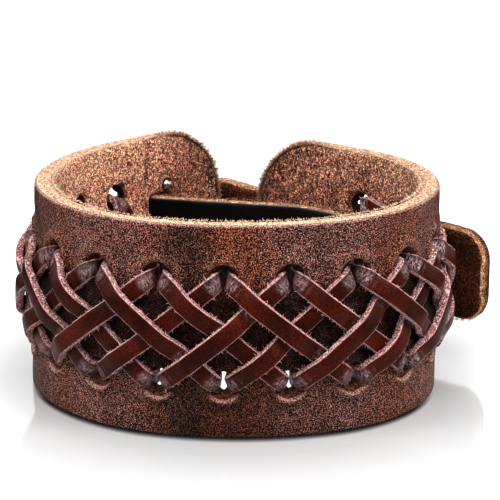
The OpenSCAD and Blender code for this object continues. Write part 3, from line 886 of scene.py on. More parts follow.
def level_route(d, cross):
    """Distance and level along a stretch of length d that meets three other stretches."""
    knots = [(BEND_R, LOW)]
    for c in range(3):
        knots += [(d * (c + 1) / 4 - CROSS_HALF, cross[c]), (d * (c + 1) / 4 + CROSS_HALF, cross[c])]
    knots.append((d - BEND_R, LOW))
    route = [knots[0]]
    for (d0, h0), (d1, h1) in zip(knots[:-1], knots[1:]):
        steps = (0.25, 0.5, 0.75) if h0 != h1 else (0.5,)
        route += [(mix(d0, d1, t), mix(h0, h1, float(ease(t)))) for t in steps]
        route.append((d1, h1))
    return route


def outside_stretch(k, start, cross):
    """One stretch outside, from hole k of a row to hole k + 2 of the other row."""
    a = np.array([hole_s(k) + HOLE_SIDE, hole_z(start, k)])
    b = np.array([hole_s(k + 2) - HOLE_SIDE, hole_z(1 - start, k + 2)])
    d = np.linalg.norm(b - a)
    way = (b - a) / d
    lean = -math.degrees(math.atan2(way[1], way[0]))
    lean_in = math.copysign(HOLE_LEAN, lean)
    steps = (0, 0.25, 0.5, 0.75)
    rows = [bend(*a, way, 1, lean_in, lean, t) for t in steps]
    rows += [(*(a + way * u), h, lean, LACE_W) for u, h in level_route(d, cross)]
    return rows + [bend(*b, -way, 1, lean_in, lean, t) for t in steps[::-1]]


def inside_stretch(k, row):
    """One stretch inside, back from hole k to hole k - 1 of the same row."""
    steps = (0, 0.25, 0.5, 0.75, 1)
    rise = ROW_SIDE[row] * END_RISE if k == HOLE_COUNT - 1 else 0
    rows = [bend(hole_s(k) - HOLE_SIDE, hole_z(row, k) + rise * t, (-1, 0), -1, 0, 0, t) for t in steps]
    end = (hole_s(k - 1) + HOLE_SIDE, hole_z(row, k - 1))
    return rows + [bend(*end, (1, 0), -1, 0, 0, t) for t in steps[::-1]]


def start_stretch(row):
    """The start lies upright inside, from half-way between the two first holes to hole 0 of a row."""
    toward = ROW_SIDE[row]
    from_z, to_z = MID_Z + toward * 2 * GAP, hole_z(row, 0) - toward * BEND_R
    rows = []
    for t in (0, 0.25, 0.5, 0.75, 1):
        s = hole_s(0) - START_BOW * math.cos(math.pi / 2 * t)
        rows.append((s, mix(from_z, to_z, t), -LOW, UPRIGHT * toward, LACE_W))
    for t in (2 / 3, 1 / 3, 0):
        rows.append(bend(hole_s(0), hole_z(row, 0), (0, -toward), -1, START_LEAN * toward,
                         UPRIGHT * toward, t))
    return rows


def lace_route(row, cross):
    """Places, leans and widths along the whole lace that starts out of hole 0 of a row."""
    rows = start_stretch(row)
    last = HOLE_COUNT - 3
    for k in range(last + 1):
        rows += outside_stretch(k, (row + k) % 2, cross)
        rows += inside_stretch(k + 2, (row + k + 1) % 2)
    end_row = (row + last + 1) % 2
    rows.append((hole_s(last + 1) + HOLE_SIDE, hole_z(end_row, last + 1), FACE - 0.3, 0, LACE_HOLE_W))
    return np.array(rows, float)


def resample(rows, step, soften):
    """Rows spread evenly along their path, with each column softened over a length."""
    run = np.concatenate([[0], np.cumsum(np.linalg.norm(np.diff(rows[:, :3], axis=0), axis=1))])
    even = np.linspace(0, run[-1], int(run[-1] / step) + 1)
    table = np.stack([np.interp(even, run, rows[:, c]) for c in range(rows.shape[1])], -1)
    reach = int(3 * soften / step)
    kernel = bell(np.arange(-reach, reach + 1) * step, soften * math.sqrt(2))
    kernel /= kernel.sum()
    padded = np.concatenate([np.repeat(table[:1], reach, 0), table, np.repeat(table[-1:], reach, 0)])
    smooth = np.stack([np.convolve(padded[:, c], kernel, "valid") for c in range(table.shape[1])], -1)
    smooth[0], smooth[-1] = table[0], table[-1]
    return smooth


# Cross-section of a lace: across its width and through it, as shares, then the material and the mark of the
# painted highlight along the edge
ACROSS, THROUGH, RAW, EDGE = 0, 1, 2, 3
LACE_SECTION = np.array([
    (-0.43, 0.50, 0, 0), (-0.2, 0.53, 0, 0), (0, 0.54, 0, 0), (0.2, 0.53, 0, 0), (0.43, 0.50, 0, 0),
    (0.49, 0.44, 1, 0.9), (0.505, 0.2, 1, 0), (0.50, -0.15, 1, 0), (0.47, -0.45, 1, 0), (0.3, -0.5, 1, 0),
    (0, -0.5, 1, 0), (-0.3, -0.5, 1, 0), (-0.47, -0.45, 1, 0), (-0.50, -0.15, 1, 0), (-0.505, 0.2, 1, 0),
    (-0.49, 0.44, 0, 0.75),
], float)
LACE_STEP = 0.3

# The right part of each lace is more creased, with a stronger painted highlight on its bends: from this
# place on the band, over a length
MORE_CREASE_AND_SHEEN_FROM, MORE_CREASE_AND_SHEEN_LENGTH = 105, 40


def strip_faces(n, m):
    """Faces round a strip of n rows of m points, without its two ends."""
    i, j = np.meshgrid(np.arange(n - 1), np.arange(m), indexing="ij")
    a, b = i * m + j, i * m + (j + 1) % m
    return np.stack([a, b, b + m, a + m], -1).reshape(-1, 4)


def strip_kinds(kinds, n):
    """Material of each face of a strip of n rows, and of its two ends."""
    return np.tile(kinds.astype(int), n - 1).tolist() + [1, 1]


def sweep(name, centres, across, through, section, materials, rough, seed, along):
    """A closed strip: the section is carried along the centres, and its raw faces are roughened."""
    n, m = len(centres), len(section)
    offset = section[:, ACROSS][None, :, None] * across[:, None, :]
    offset = offset + section[:, THROUGH][None, :, None] * through[:, None, :]
    points = centres[:, None, :] + offset
    out = unit(offset)
    raw = np.maximum(section[:, RAW], np.roll(section[:, RAW], 1))
    push = rough * (noise(points, 0.45, seed) + 0.7 * noise(points, 1.1, seed + 1)) * raw[None, :]
    points = (points + push[..., None] * out).reshape(-1, 3)
    caps = [tuple(range(m)), tuple(range((n - 1) * m, n * m))[::-1]]
    marks = {"edge": np.tile(section[:, EDGE], n), "wide": np.tile(section[:, ACROSS], n),
             "glow": np.zeros(n * m), "shade": np.zeros(n * m)}
    for key, values in along.items():
        marks[key] = np.repeat(values, m)
    faces = strip_faces(n, m)[:, ::-1].tolist() + caps
    return make_mesh(name, points, faces, materials, strip_kinds(section[:, RAW], n), marks)


def lace_frame(route):
    """Centres of a lace with its width and thickness directions."""
    s, z, h, lean, wide = route.T
    centres = place(s, z, h)
    travel = unit(np.gradient(centres, axis=0))
    a = plan_at(s)[1]
    lean = np.radians(lean)
    upright = np.stack([np.sin(lean) * np.cos(a), np.sin(lean) * np.sin(a), np.cos(lean)], -1)
    across = unit(upright - (upright * travel).sum(-1, keepdims=True) * travel)
    return centres, across, np.cross(travel, across), wide


def build_lace(name, node, row, cross, look, materials, fibre_material, seed):
    """One lace as a closed strip, with the hairs along its raw edges."""
    route = resample(lace_route(row, cross), LACE_STEP, look.soften / MM)
    centres, across, through, wide = lace_frame(route)
    turning = np.linalg.norm(np.gradient(unit(np.gradient(centres, axis=0)), axis=0), axis=1) / LACE_STEP
    crease = ease(turning / 0.3) * ease((LOW + 0.45 - np.abs(route[:, 2])) / 0.35)
    crease = crease * (0.52 + 0.43 * ease((route[:, 0] - MORE_CREASE_AND_SHEEN_FROM) / MORE_CREASE_AND_SHEEN_LENGTH))
    obj = sweep(name, centres, across * wide[:, None], through * LACE_T, LACE_SECTION, materials,
                look.roughen / MM, seed, {"crease": crease, "run": LACE_STEP * np.arange(len(crease))})
    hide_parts(node)
    rng = np.random.default_rng(seed)
    pick = rng.integers(5, len(centres) - 5, look.hair_count)
    side = rng.choice((-1, 1), len(pick))[:, None]
    level = rng.uniform(-0.5, 0.35, len(pick))[:, None]
    roots = centres[pick] + across[pick] * wide[pick, None] * 0.49 * side + through[pick] * LACE_T * level
    ways = across[pick] * side + rng.normal(size=(len(pick), 3)) * 0.6
    lengths = 0.2 + 0.55 * rng.random(len(pick)) ** 3
    build_fibres(name + "_hairs", roots, ways, lengths, LACE_HAIR_R, fibre_material,
                 seed + 1)


# Closing strap

# How far the tab's end lifts off the band, and how far round the strap turns at the slot, in degrees
LIFT = 3.4
SLOT_TURN = 62.5

# Places along the strap, from its inner end
TAB_FROM = 84.0
TAB_FULL = 94.0
OUTER_FROM = 44.0
HAIRY_FROM = TAB_FROM - 14


def end_point(side, u, h):
    """Plan point at distance u from a tip, along its flat end, and distance h outward."""
    a = (START_HEADING[0], START_HEADING[-1] + math.pi)[side]
    tip = (START_POINT[0], START_POINT[-1])[side]
    out = (-1, 1)[side] * h * np.array([-math.sin(a), math.cos(a)])
    return tip + u * np.array([math.cos(a), math.sin(a)]) + out


def wall_point(s, h):
    """Plan point at length s of the band and distance h outward."""
    p, a = plan_at(s)
    return p + h * np.array([math.sin(a), -math.cos(a)])


def strap_corners():
    """Corners of the strap's plan from its inner end to the tab's tip, with the radius of each bend."""
    return (
        (wall_point(BAND_LENGTH - 24.5, -STRAP_OFF), 0),
        (wall_point(BAND_LENGTH - 20.5, -STRAP_OFF), 15),
        (end_point(RIGHT, 10.5, -STRAP_OFF), 9),
        (end_point(LEFT, SLOT_AT + TURN_R * math.tan(math.radians(SLOT_TURN)), STRAP_OFF), TURN_R),
        (end_point(LEFT, -3.6, STRAP_OFF), 3.4),
        (end_point(RIGHT, 0.5, STRAP_OFF), 8),
        (end_point(RIGHT, 12.5, STRAP_OFF), 9),
        (end_point(RIGHT, 24.5, STRAP_OFF + LIFT), 12),
        (end_point(RIGHT, 42.9, STRAP_OFF + 1.6), 0),
    )


def strap_plan():
    """Points along the strap's plan: straight runs joined by arcs."""
    corners = strap_corners()
    points = [corners[0][0][None]]
    for (p0, _), (p1, r), (p2, _) in zip(corners[:-2], corners[1:-1], corners[2:]):
        u, v = unit(p1 - p0), unit(p2 - p1)
        way = math.copysign(1, u[0] * v[1] - u[1] * v[0])
        turn = math.acos(min(1, float(u @ v)))
        start = p1 - r * math.tan(turn / 2) * u
        centre = start + way * r * np.array([-u[1], u[0]])
        a = way * np.linspace(0, turn, max(4, int(math.degrees(turn) / 3)))
        q = start - centre
        points.append(centre + np.stack([q[0] * np.cos(a) - q[1] * np.sin(a),
                                         q[0] * np.sin(a) + q[1] * np.cos(a)], -1))
    points.append(corners[-1][0][None])
    return np.concatenate(points)


def corner_loss(r, d):
    """How much half the width loses at distance d from an end with round corners."""
    return r - np.sqrt(np.maximum(r * r - np.maximum(r - d, 0) ** 2, 0))


# Cross-section of the strap: side, distance in from the edge in millimetres, level through the leather
# as a share, material, painted highlight line and painted light border
SIDE, INSET, LEVEL, KIND, LINE, BORDER = range(6)
STRAP_SECTION = np.array([
    (-1, 0.35, 0.50, 0, 0, 0), (-1, 2.5, 0.5, 0, 0, 0), (0, 0, 0.5, 0, 0, 0), (1, 2.5, 0.5, 0, 0, 0),
    (1, 0.9, 0.5, 0, 0, 0), (1, 0.30, 0.50, 0, 0.05, 0), (1, 0.08, 0.42, 1, 1, 0), (1, 0, 0.15, 1, 0, 0),
    (1, 0.05, -0.1, 1, 0, 0.3), (1, 0.3, -0.32, 2, 0, 0.8), (1, 0.7, -0.44, 2, 0, 0.25),
    (1, 1.3, -0.5, 2, 0, 0), (1, 3, -0.5, 2, 0, 0), (0, 0, -0.5, 2, 0, 0), (-1, 3, -0.5, 2, 0, 0),
    (-1, 1.3, -0.5, 2, 0, 0), (-1, 0.7, -0.44, 2, 0, 0.25), (-1, 0.3, -0.32, 1, 0, 0.8),
    (-1, 0.05, -0.1, 1, 0, 0.3), (-1, 0, 0.15, 1, 0, 0), (-1, 0.08, 0.42, 0, 1, 0),
], float)


def strap_table():
    """Centre, half width and height along the strap, evenly spaced and closer at its two ends."""
    plan = strap_plan()
    run = np.concatenate([[0], np.cumsum(np.linalg.norm(np.diff(plan, axis=0), axis=1))])
    total = run[-1]
    quarter = 1 - np.cos(np.linspace(0, math.pi / 2, 17))
    middle = np.arange(INNER_R + 0.3, total - TAB_R - 0.2, 0.35)
    even = np.concatenate([INNER_R * quarter, middle, total - TAB_R * quarter[::-1]])
    x, y = (np.interp(even, run, plan[:, c]) for c in (0, 1))
    half = mix(NECK_W, TAB_W, ease((even - TAB_FROM) / (TAB_FULL - TAB_FROM))) / 2
    half = half - corner_loss(TAB_R, total - even) - corner_loss(INNER_R, even)
    z = STRAP_MID - TAB_DROP * np.maximum(0, even - OUTER_FROM) / (total - OUTER_FROM)
    return even, np.stack([x, y, z], -1), half


def build_strap(look, materials, fibre_material):
    """The closing strap as one closed strip, with the hairs along its edges."""
    run, centres, half = strap_table()
    travel = unit(np.gradient(centres[:, :2], axis=0))
    left = np.stack([-travel[:, 1], travel[:, 0], 0 * run], -1)
    up = np.tile([0.0, 0.0, 1.0], (len(run), 1))
    section = STRAP_SECTION
    n, m = len(run), len(section)
    inset = np.minimum(section[:, INSET][None, :], half[:, None] * 0.9)
    width = section[:, SIDE][None, :] * (half[:, None] - inset)
    from_end = np.minimum(run, run[-1] - run)
    points = centres[:, None, :] + width[..., None] * up[:, None, :]
    points = points + (section[:, LEVEL] * STRAP_T)[None, :, None] * left[:, None, :]
    raw = np.maximum(section[:, KIND], np.roll(section[:, KIND], 1)).clip(0, 1)
    out = unit(points - centres[:, None, :])
    # painted light along the border of the flesh side and near the strap's two ends
    border = np.maximum(section[:, BORDER][None, :], 0.8 * bell(from_end, 0.4)[:, None])
    push = look.roughen / MM * (noise(points, 0.5, 41) + 0.8 * noise(points, 1.4, 42)) * raw[None, :]
    points = (points + push[..., None] * out).reshape(-1, 3)
    caps = [tuple(range(m))[::-1], tuple(range((n - 1) * m, n * m))]
    marks = {"edge": np.tile(section[:, LINE], n), "glow": border.reshape(-1),
             "shade": (ease((section[:, LEVEL] + 0.05) / 0.25) * (run > TAB_FROM)[:, None]).reshape(-1)}
    obj = make_mesh("strap_leather", points, strip_faces(n, m).tolist() + caps, materials,
                    strip_kinds(section[:, KIND], n), marks)
    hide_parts("closing_strap")
    strap_fibres(look, run, centres, half, left, fibre_material)


def strap_fibres(look, run, centres, half, left, material):
    """Hairs along the strap's upper and lower edges and round the tab."""
    rng = np.random.default_rng(51)
    weight = np.where(run > HAIRY_FROM, 3.0, 1.0)
    pick = rng.choice(np.arange(2, len(run) - 1), look.hair_count, p=weight[2:-1] / weight[2:-1].sum())
    side = np.where(rng.random(len(pick)) < 0.6, 1, -1)
    slope = np.gradient(half, run)[pick]
    travel = unit(np.gradient(centres, axis=0))[pick]
    up = np.array([0.0, 0.0, 1.0])
    out = unit(up[None] * side[:, None] - travel * slope[:, None])
    level = rng.uniform(-0.5, 0.3, len(pick))[:, None]
    roots = centres[pick] + up[None] * (side * (half[pick] - 0.03))[:, None] + left[pick] * STRAP_T * level
    ways = out + rng.normal(size=(len(pick), 3)) * 0.5
    lengths = 0.2 + 0.4 * rng.random(len(pick)) ** 2
    build_fibres("strap_fibres", roots, ways, lengths, STRAP_HAIR_R, material, 52)


# Settings that a user would change


def colour(name, default, text):
    return bpy.props.FloatVectorProperty(name=name, description=text, default=default, size=3,
                                         subtype="COLOR", min=0, max=1)


def size(name, default, text):
    return bpy.props.FloatProperty(name=name, description=text, default=default * MM, min=0, precision=5,
                                   subtype="DISTANCE")


def power(name, default, text):
    return bpy.props.FloatProperty(name=name, description=text, default=default, min=0)


def number(name, default, text):
    return bpy.props.IntProperty(name=name, description=text, default=default, min=0)


class BandLook(bpy.types.PropertyGroup):
    """Sizes and colours of the band."""
    dark: colour("Dark", (0.034, 0.017, 0.015), "Dark patches of the outside")
    warm: colour("Warm", (0.138, 0.040, 0.018), "Warm patches of the outside")
    pink: colour("Pink", (0.160, 0.084, 0.078), "Greyish-pink patches of the outside")
    # Deep: the dark grain specks, and the colour of the painted shade between and under the laces, low on
    # the front of the band and in the upper holes
    deep: colour("Deep", (0.008, 0.003, 0.0025), "Leather between and under the laces")
    pale: colour("Pale", (0.47, 0.24, 0.155), "Pale specks of the outside")
    pale_pink: colour("Pale pink", (0.53, 0.31, 0.27), "Pale specks of the greyish-pink patches")
    # Hole: the cut walls of the holes painted dark, as painted shade inside the holes
    hole: colour("Hole", (0.11, 0.050, 0.032), "Walls of the holes")
    halo: colour("Halo", (0.15, 0.066, 0.042), "Rubbed leather round the holes")
    grain_contrast: power("Grain contrast", 21.0, "Contrast of the fine grain of the outside")
    pebbles: power("Grain pebbles", 5200.0, "Pebbles of the grain in a metre")
    rim_line: power("Pale line", 0.75, "Share of the rim that stays pale, from the outside")
    # Worn line: also the colour of the painted highlights on the lips of the holes
    worn: colour("Worn line", (0.70, 0.44, 0.38), "Worn line along the rims")
    flesh: colour("Flesh", (0.55, 0.235, 0.16), "Flesh side")
    # Light flesh: also the colour of the painted light on the flesh side
    flesh_light: colour("Light flesh", (0.88, 0.53, 0.36), "Light fibres of the flesh side")
    flesh_dark: colour("Dark flesh", (0.030, 0.010, 0.008), "Dark pits of the flesh side")
    cut: colour("Cut", (0.80, 0.60, 0.44), "Cut rim")
    cut_mid: colour("Cut shade", (0.74, 0.51, 0.35), "Darker layers of the cut rim")
    cut_dark: colour("Cut specks", (0.16, 0.08, 0.04), "Dark specks of the cut rim")
    fringe: colour("Fringe", (0.24, 0.095, 0.05), "Darkest of the loose hairs along the rim")
    lip: size("Lip", 0.36, "Height of the lip round a hole")
    lip_at: size("Lip distance", 0.65, "Distance of the lip from a hole's edge")
    lip_width: size("Lip width", 0.55, "Width of the lip")
    fibre_count: number("Fibres", 9000, "Hairs along the cut edges")


class LaceLook(bpy.types.PropertyGroup):
    """Sizes and colours of the laces."""
    grain_dark: colour("Dark", (0.032, 0.0070, 0.004), "Dark parts of the waxed face")
    grain_red: colour("Red", (0.076, 0.0125, 0.006), "Red parts of the waxed face")
    # Rubbed: the colour of the painted highlight on the wrinkles of the bends
    bend_highlight: colour("Rubbed", (0.86, 0.69, 0.72), "Rubbed wrinkles at the bends")
    # Fold: the colour of the painted shade in the folds
    fold_shade: colour("Fold", (0.010, 0.003, 0.003), "Dark folds between the wrinkles")
    # Edge line: a painted highlight
    edge_highlight: colour("Edge line", (0.72, 0.46, 0.42), "Pale line along the face's edges")
    raw: colour("Raw", (0.60, 0.31, 0.30), "Raw edges")
    raw_light: colour("Raw light", (1.0, 0.75, 0.74), "Light fibres of the raw edges")
    raw_dark: colour("Raw dark", (0.08, 0.025, 0.025), "Dark specks of the raw edges")
    soften: size("Softening", 0.45, "Length over which the lace's path is softened")
    roughen: size("Roughening", 0.07, "Depth of the raw edges' roughness")
    hair_count: number("Hairs", 3500, "Hairs along each lace")


class StrapLook(bpy.types.PropertyGroup):
    """Sizes and colours of the closing strap."""
    grain: colour("Grain", (0.004, 0.003, 0.003), "Smooth face")
    grain_light: colour("Worn grain", (0.012, 0.007, 0.007), "Worn parts of the smooth face")
    # Edge line: a painted highlight
    edge_highlight: colour("Edge line", (0.30, 0.27, 0.30), "Line along the smooth face's edges")
    edge: colour("Edge", (0.64, 0.42, 0.27), "Cut edges")
    edge_mid: colour("Edge shade", (0.40, 0.22, 0.115), "Darker layers of the cut edges")
    flesh: colour("Flesh", (0.070, 0.017, 0.006), "Flesh side")
    # Light flesh: also the colour of the painted light along the border
    flesh_light: colour("Light flesh", (0.30, 0.10, 0.036), "Light fibres of the flesh side")
    flesh_dark: colour("Dark flesh", (0.013, 0.004, 0.002), "Dark specks of the flesh side")
    roughen: size("Roughening", 0.08, "Depth of the raw edges' roughness")
    hair_count: number("Hairs", 4200, "Hairs along the strap")


class FittingsLook(bpy.types.PropertyGroup):
    """Colours of the snap and the rivets."""
    metal: colour("Nickel", (0.52, 0.49, 0.44), "Polished metal")
    metal_dark: colour("Rubbed", (0.26, 0.235, 0.20), "Rubbed metal")


class StageLook(bpy.types.PropertyGroup):
    """Floor, light and camera."""
    floor: colour("Floor", (0.37, 0.37, 0.37), "Floor, by the light that falls on it")
    # Floor shade: the colour of the painted shadow
    floor_shade: colour("Floor shade", (0.02, 0.02, 0.02), "Floor close in front of the band's foot")
    floor_near: power("Floor glow near", 0.09, "Light that the floor gives close to the bracelet")
    floor_far: power("Floor glow far", 0.60, "Light that the floor gives further out")
    soft_light: power("Soft light", 0.42, "Strength of the light all round")
    top_light: power("Top light", 2.3, "Strength of the light above")
    left_light: power("Left light", 0.9, "Strength of the light at the left")
    right_light: power("Right light", 1.1, "Strength of the light at the right")
    front_light: power("Front light", 0.5, "Strength of the light in front")


# Operators


class BRACELET_OT_band(bpy.types.Operator):
    """Build the band's leather and the hairs along its edges"""
    bl_idname = "bracelet.band"
    bl_label = "Band"

    def execute(self, context):
        look = context.scene.bracelet_band
        edge = cut_edge("band_cut", look.cut, look.cut_mid, look.cut_dark, look.flesh)
        # the hole walls are painted dark, darker still in the upper holes: painted shade inside the holes
        hole_edge = cut_edge("hole_cut", look.hole, look.halo, look.deep, look.deep)
        flesh = suede("band_flesh", look.flesh, look.flesh_dark, look.flesh_light, look.cut)
        build_band(look, [grain_leather(look), flesh, edge, hole_edge])
        band_fibres(look, fibres_material("band_fibre", look.cut, look.fringe))
        return {"FINISHED"}


class BRACELET_OT_laces(bpy.types.Operator):
    """Build the two laces that cross through the holes"""
    bl_idname = "bracelet.laces"
    bl_label = "Laces"

    def execute(self, context):
        look = context.scene.bracelet_laces
        raw = suede("lace_raw", look.raw, look.raw_dark, look.raw_light, look.raw_light, 0.8)
        materials = [lace_grain(look), raw]
        hairs = fibres_material("lace_hair", look.raw_light, look.raw)
        build_lace("lace_one", "lace_first", LOWER, CROSS_FIRST, look, materials, hairs, 61)
        build_lace("lace_two", "lace_second", UPPER, CROSS_SECOND, look, materials, hairs, 71)
        return {"FINISHED"}


class BRACELET_OT_strap(bpy.types.Operator):
    """Build the closing strap and the hairs along its edges"""
    bl_idname = "bracelet.strap"
    bl_label = "Closing strap"

    def execute(self, context):
        look = context.scene.bracelet_strap
        edge = cut_edge("strap_cut", look.edge, look.edge_mid, look.flesh_dark, look.flesh)
        flesh = suede("strap_flesh", look.flesh, look.flesh_dark, look.flesh_light, look.edge)
        hairs = fibres_material("strap_hair", look.edge, look.edge_mid)
        build_strap(look, [strap_grain(look), edge, flesh], hairs)
        return {"FINISHED"}


class BRACELET_OT_fittings(bpy.types.Operator):
    """Give the snap and the rivets their nickel plate"""
    bl_idname = "bracelet.fittings"
    bl_label = "Snap and rivets"

    def execute(self, context):
        metal = nickel(context.scene.bracelet_fittings)
        for name in ("snap", "anchor_rivet", "slot_rivet_upper", "slot_rivet_lower"):
            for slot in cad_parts[name].material_slots:
                slot.material = metal
        return {"FINISHED"}


# Camera: place in millimetres, tilt down and roll in degrees, and focal length as a share of the frame
CAMERA_AT = (2.15, -377.38, 131.54)
CAMERA_TILT = 16.298
CAMERA_ROLL = 0.325
CAMERA_FOCUS = 2392.8 / 500
SENSOR = 36.0

# Lights: name, as in the stage's settings, direction that it comes from (degrees round from the front,
# and up), and spread
LIGHTS = (
    ("top_light", (20, 68), 60),
    ("left_light", (-72, 32), 20),
    ("right_light", (70, 30), 20),
    ("front_light", (-20, 38), 30),
)
SKY = (0.97, 0.98, 1, 1)

# Round stage pieces, in metres: radii and heights, and how far from the middle the floor's glow changes
STAGE_SIDES = 64
FLOOR_R = 3.0
WALL_R, WALL_FOOT, WALL_TOP, WALL_GLOW = 2.9, -0.1, 4.0, 1.3
BACK_WALL_R, BACK_WALL_TOP = 2.8, 1.6
CARD_INNER, CARD_OUTER, CARD_LIFT = 0.068, 0.9, 0.0003
FADE_FROM, FADE_TO = 0.038, 0.080
FADE_INSIDE = (0.022, 0.033)

# Painted shadow on a strip of floor in front of the band's foot, in millimetres: distances toward the
# camera and how dark it is there, then the stretch of the band that it follows and the length over which it
# fades
SHADE_ROWS = ((-0.5, 1.0), (0.5, 0.95), (1.2, 0.65), (2.2, 0.0))
SHADE_FROM, SHADE_TO, SHADE_FADE = 50, 138, 12
SHADE_LIFT = 0.02


class BRACELET_OT_stage(bpy.types.Operator):
    """Set the floor, the lights and the camera"""
    bl_idname = "bracelet.stage"
    bl_label = "Stage"

    def execute(self, context):
        look = context.scene.bracelet_stage
        scene = context.scene
        self.camera(scene)
        self.floor(look)
        self.foot_shade(look)
        self.card()
        self.backdrop()
        for name, way, spread in LIGHTS:
            self.light(scene, name, way, spread, getattr(look, name))
        world = scene.world or bpy.data.worlds.new("soft_light")
        scene.world = world
        world.use_nodes = True
        background = world.node_tree.nodes["Background"]
        background.inputs[0].default_value = SKY
        background.inputs[1].default_value = look.soft_light
        scene.view_settings.view_transform = "Standard"
        scene.view_settings.look = "High Contrast"
        return {"FINISHED"}

    def camera(self, scene):
        data = bpy.data.cameras.new("camera")
        data.sensor_width = SENSOR
        data.lens = CAMERA_FOCUS * SENSOR
        data.clip_start = 0.01
        obj = bpy.data.objects.new("camera", data)
        scene.collection.objects.link(obj)
        tilt = Matrix.Rotation(math.radians(90 - CAMERA_TILT), 4, "X")
        roll = Matrix.Rotation(math.radians(CAMERA_ROLL), 4, "Z")
        obj.matrix_world = Matrix.Translation(Vector(CAMERA_AT) * MM) @ tilt @ roll
        scene.camera = obj

    def stage_mesh(self, name, points, faces, material):
        """A stage mesh object of points in metres, linked to the scene."""
        mesh = bpy.data.meshes.new(name)
        mesh.from_pydata(points, [], faces)
        mesh.materials.append(material)
        obj = bpy.data.objects.new(name, mesh)
        bpy.context.scene.collection.objects.link(obj)
        return obj

    def ring(self, r, z):
        """Points of a circle round the upright axis."""
        steps = [2 * math.pi * k / STAGE_SIDES for k in range(STAGE_SIDES)]
        return [(r * math.cos(a), r * math.sin(a), z) for a in steps]

    def band_faces(self):
        """Faces between two rings."""
        n = STAGE_SIDES
        return [(k, (k + 1) % n, n + (k + 1) % n, n + k) for k in range(n)]

    def floor_material(self, look, name):
        """White glossy floor that glows further out; its weaker glow close round the bracelet is painted
        shade, and it carries a painted shadow where a mesh is marked as shaded.
        """
        m = Shader(name)
        away = m.node("ShaderNodeVectorMath", output="Value", inputs={0: m.position}, operation="LENGTH")
        glow = m.math("MAXIMUM", m.ramp(away, FADE_FROM, FADE_TO, look.floor_near, look.floor_far),
                      m.ramp(away, *FADE_INSIDE, look.floor_far, look.floor_near))
        lit = m.math("SUBTRACT", 1.0, m.mark("shade"))
        return m.finish(Base_Color=m.blend(m.mark("shade"), look.floor, look.floor_shade), Roughness=0.09,
                        Specular_IOR_Level=0.5, Emission_Color=(1, 1, 1),
                        Emission_Strength=m.math("MULTIPLY", glow, lit))

    def floor(self, look):
        material = self.floor_material(look, "floor_white")
        self.stage_mesh("floor", self.ring(FLOOR_R, 0), [tuple(range(STAGE_SIDES))], material)

    def foot_shade(self, look):
        """A painted shadow: the strip of floor right in front of the band's foot, made dark."""
        s = np.arange(SHADE_FROM, SHADE_TO, 1.0)
        foot = place(s, 0 * s, 0 * s + FACE)
        rows = [foot + (0, -toward, SHADE_LIFT) for toward, _ in SHADE_ROWS]
        fade = ease((s - SHADE_FROM) / SHADE_FADE) * ease((SHADE_TO - s) / SHADE_FADE)
        shade = np.concatenate([dark * fade for _, dark in SHADE_ROWS])
        n = len(s)
        faces = [(r * n + i, (r + 1) * n + i, (r + 1) * n + i + 1, r * n + i + 1)
                 for r in range(len(rows) - 1) for i in range(n - 1)]
        obj = self.stage_mesh("foot_shade", (np.concatenate(rows) * MM).tolist(), faces,
                              self.floor_material(look, "floor_shaded"))
        layer = obj.data.attributes.new("shade", "FLOAT", "POINT")
        layer.data.foreach_set("value", shade.astype(np.float32))

    def card(self):
        """A dark card on the floor round the bracelet, seen only in its reflections."""
        material = Shader("card_dark").finish(Base_Color=(0.01, 0.01, 0.012), Roughness=1.0,
                                              Specular_IOR_Level=0.0)
        card = self.stage_mesh("card", self.ring(CARD_INNER, CARD_LIFT) + self.ring(CARD_OUTER, CARD_LIFT),
                               self.band_faces(), material)
        card.visible_camera = card.visible_diffuse = card.visible_shadow = card.visible_transmission = False

    def backdrop(self):
        """A white wall that only the camera sees, and one behind that only reflections show."""
        m = Shader("backdrop_white")
        material = m.finish(Base_Color=(0, 0, 0), Emission_Color=(1, 1, 1), Emission_Strength=WALL_GLOW,
                            Specular_IOR_Level=0.0)
        faces = self.band_faces()
        wall = self.stage_mesh("backdrop", self.ring(WALL_R, WALL_FOOT) + self.ring(WALL_R, WALL_TOP),
                               faces, material)
        wall.visible_diffuse = wall.visible_glossy = wall.visible_shadow = wall.visible_transmission = False
        rings = self.ring(BACK_WALL_R, 0) + self.ring(BACK_WALL_R, BACK_WALL_TOP)
        back = self.stage_mesh("back_wall", rings, faces[:len(faces) // 2], material)
        back.visible_camera = back.visible_diffuse = back.visible_shadow = back.visible_transmission = False

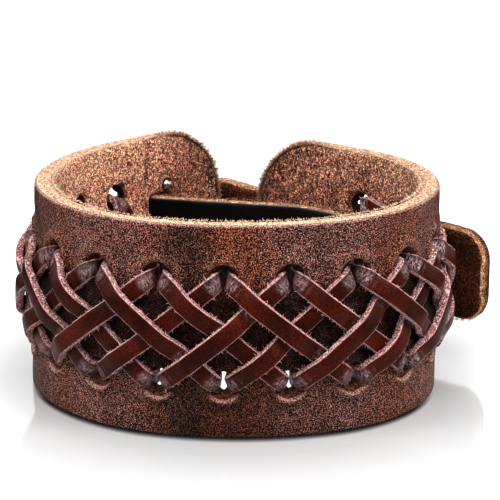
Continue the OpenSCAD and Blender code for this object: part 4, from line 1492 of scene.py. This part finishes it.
    def light(self, scene, name, way, spread, strength):
        """A far light from a direction, soft by its spread in degrees."""
        data = bpy.data.lights.new(name, "SUN")
        data.angle = math.radians(spread)
        data.energy = strength
        obj = bpy.data.objects.new(name, data)
        scene.collection.objects.link(obj)
        turn, up = (math.radians(v) for v in way)
        at = Vector((math.sin(turn) * math.cos(up), -math.cos(turn) * math.cos(up), math.sin(up)))
        obj.location = at
        obj.rotation_euler = at.to_track_quat("Z", "Y").to_euler()


class BRACELET_PT_parts(bpy.types.Panel):
    """The bracelet's pieces and their settings"""
    bl_idname = "BRACELET_PT_parts"
    bl_label = "Leather bracelet"
    bl_space_type = "VIEW_3D"
    bl_region_type = "UI"
    bl_category = "Bracelet"

    def draw(self, context):
        for operator, key in PIECES:
            box = self.layout.box()
            box.operator(operator)
            look = getattr(context.scene, key)
            for name in look.__annotations__:
                box.prop(look, name)


# The operators in the order of building, each with the name of its settings
PIECES = (
    ("bracelet.stage", "bracelet_stage"),
    ("bracelet.band", "bracelet_band"),
    ("bracelet.laces", "bracelet_laces"),
    ("bracelet.strap", "bracelet_strap"),
    ("bracelet.fittings", "bracelet_fittings"),
)
LOOKS = (
    ("bracelet_stage", StageLook),
    ("bracelet_band", BandLook),
    ("bracelet_laces", LaceLook),
    ("bracelet_strap", StrapLook),
    ("bracelet_fittings", FittingsLook),
)
CLASSES = (
    BandLook, LaceLook, StrapLook, FittingsLook, StageLook,
    BRACELET_OT_stage, BRACELET_OT_band, BRACELET_OT_laces, BRACELET_OT_strap, BRACELET_OT_fittings,
    BRACELET_PT_parts,
)


def register():
    """Add the classes and each group of settings to the scene."""
    for c in CLASSES:
        bpy.utils.register_class(c)
    for key, look in LOOKS:
        setattr(bpy.types.Scene, key, bpy.props.PointerProperty(type=look))


def unregister():
    """Take the settings and the classes away again."""
    for key, _ in LOOKS:
        delattr(bpy.types.Scene, key)
    for c in reversed(CLASSES):
        bpy.utils.unregister_class(c)


def main():
    """Build every piece."""
    register()
    for operator, _ in PIECES:
        group, name = operator.split(".")
        getattr(getattr(bpy.ops, group), name)()


if __name__ == "__main__":
    main()
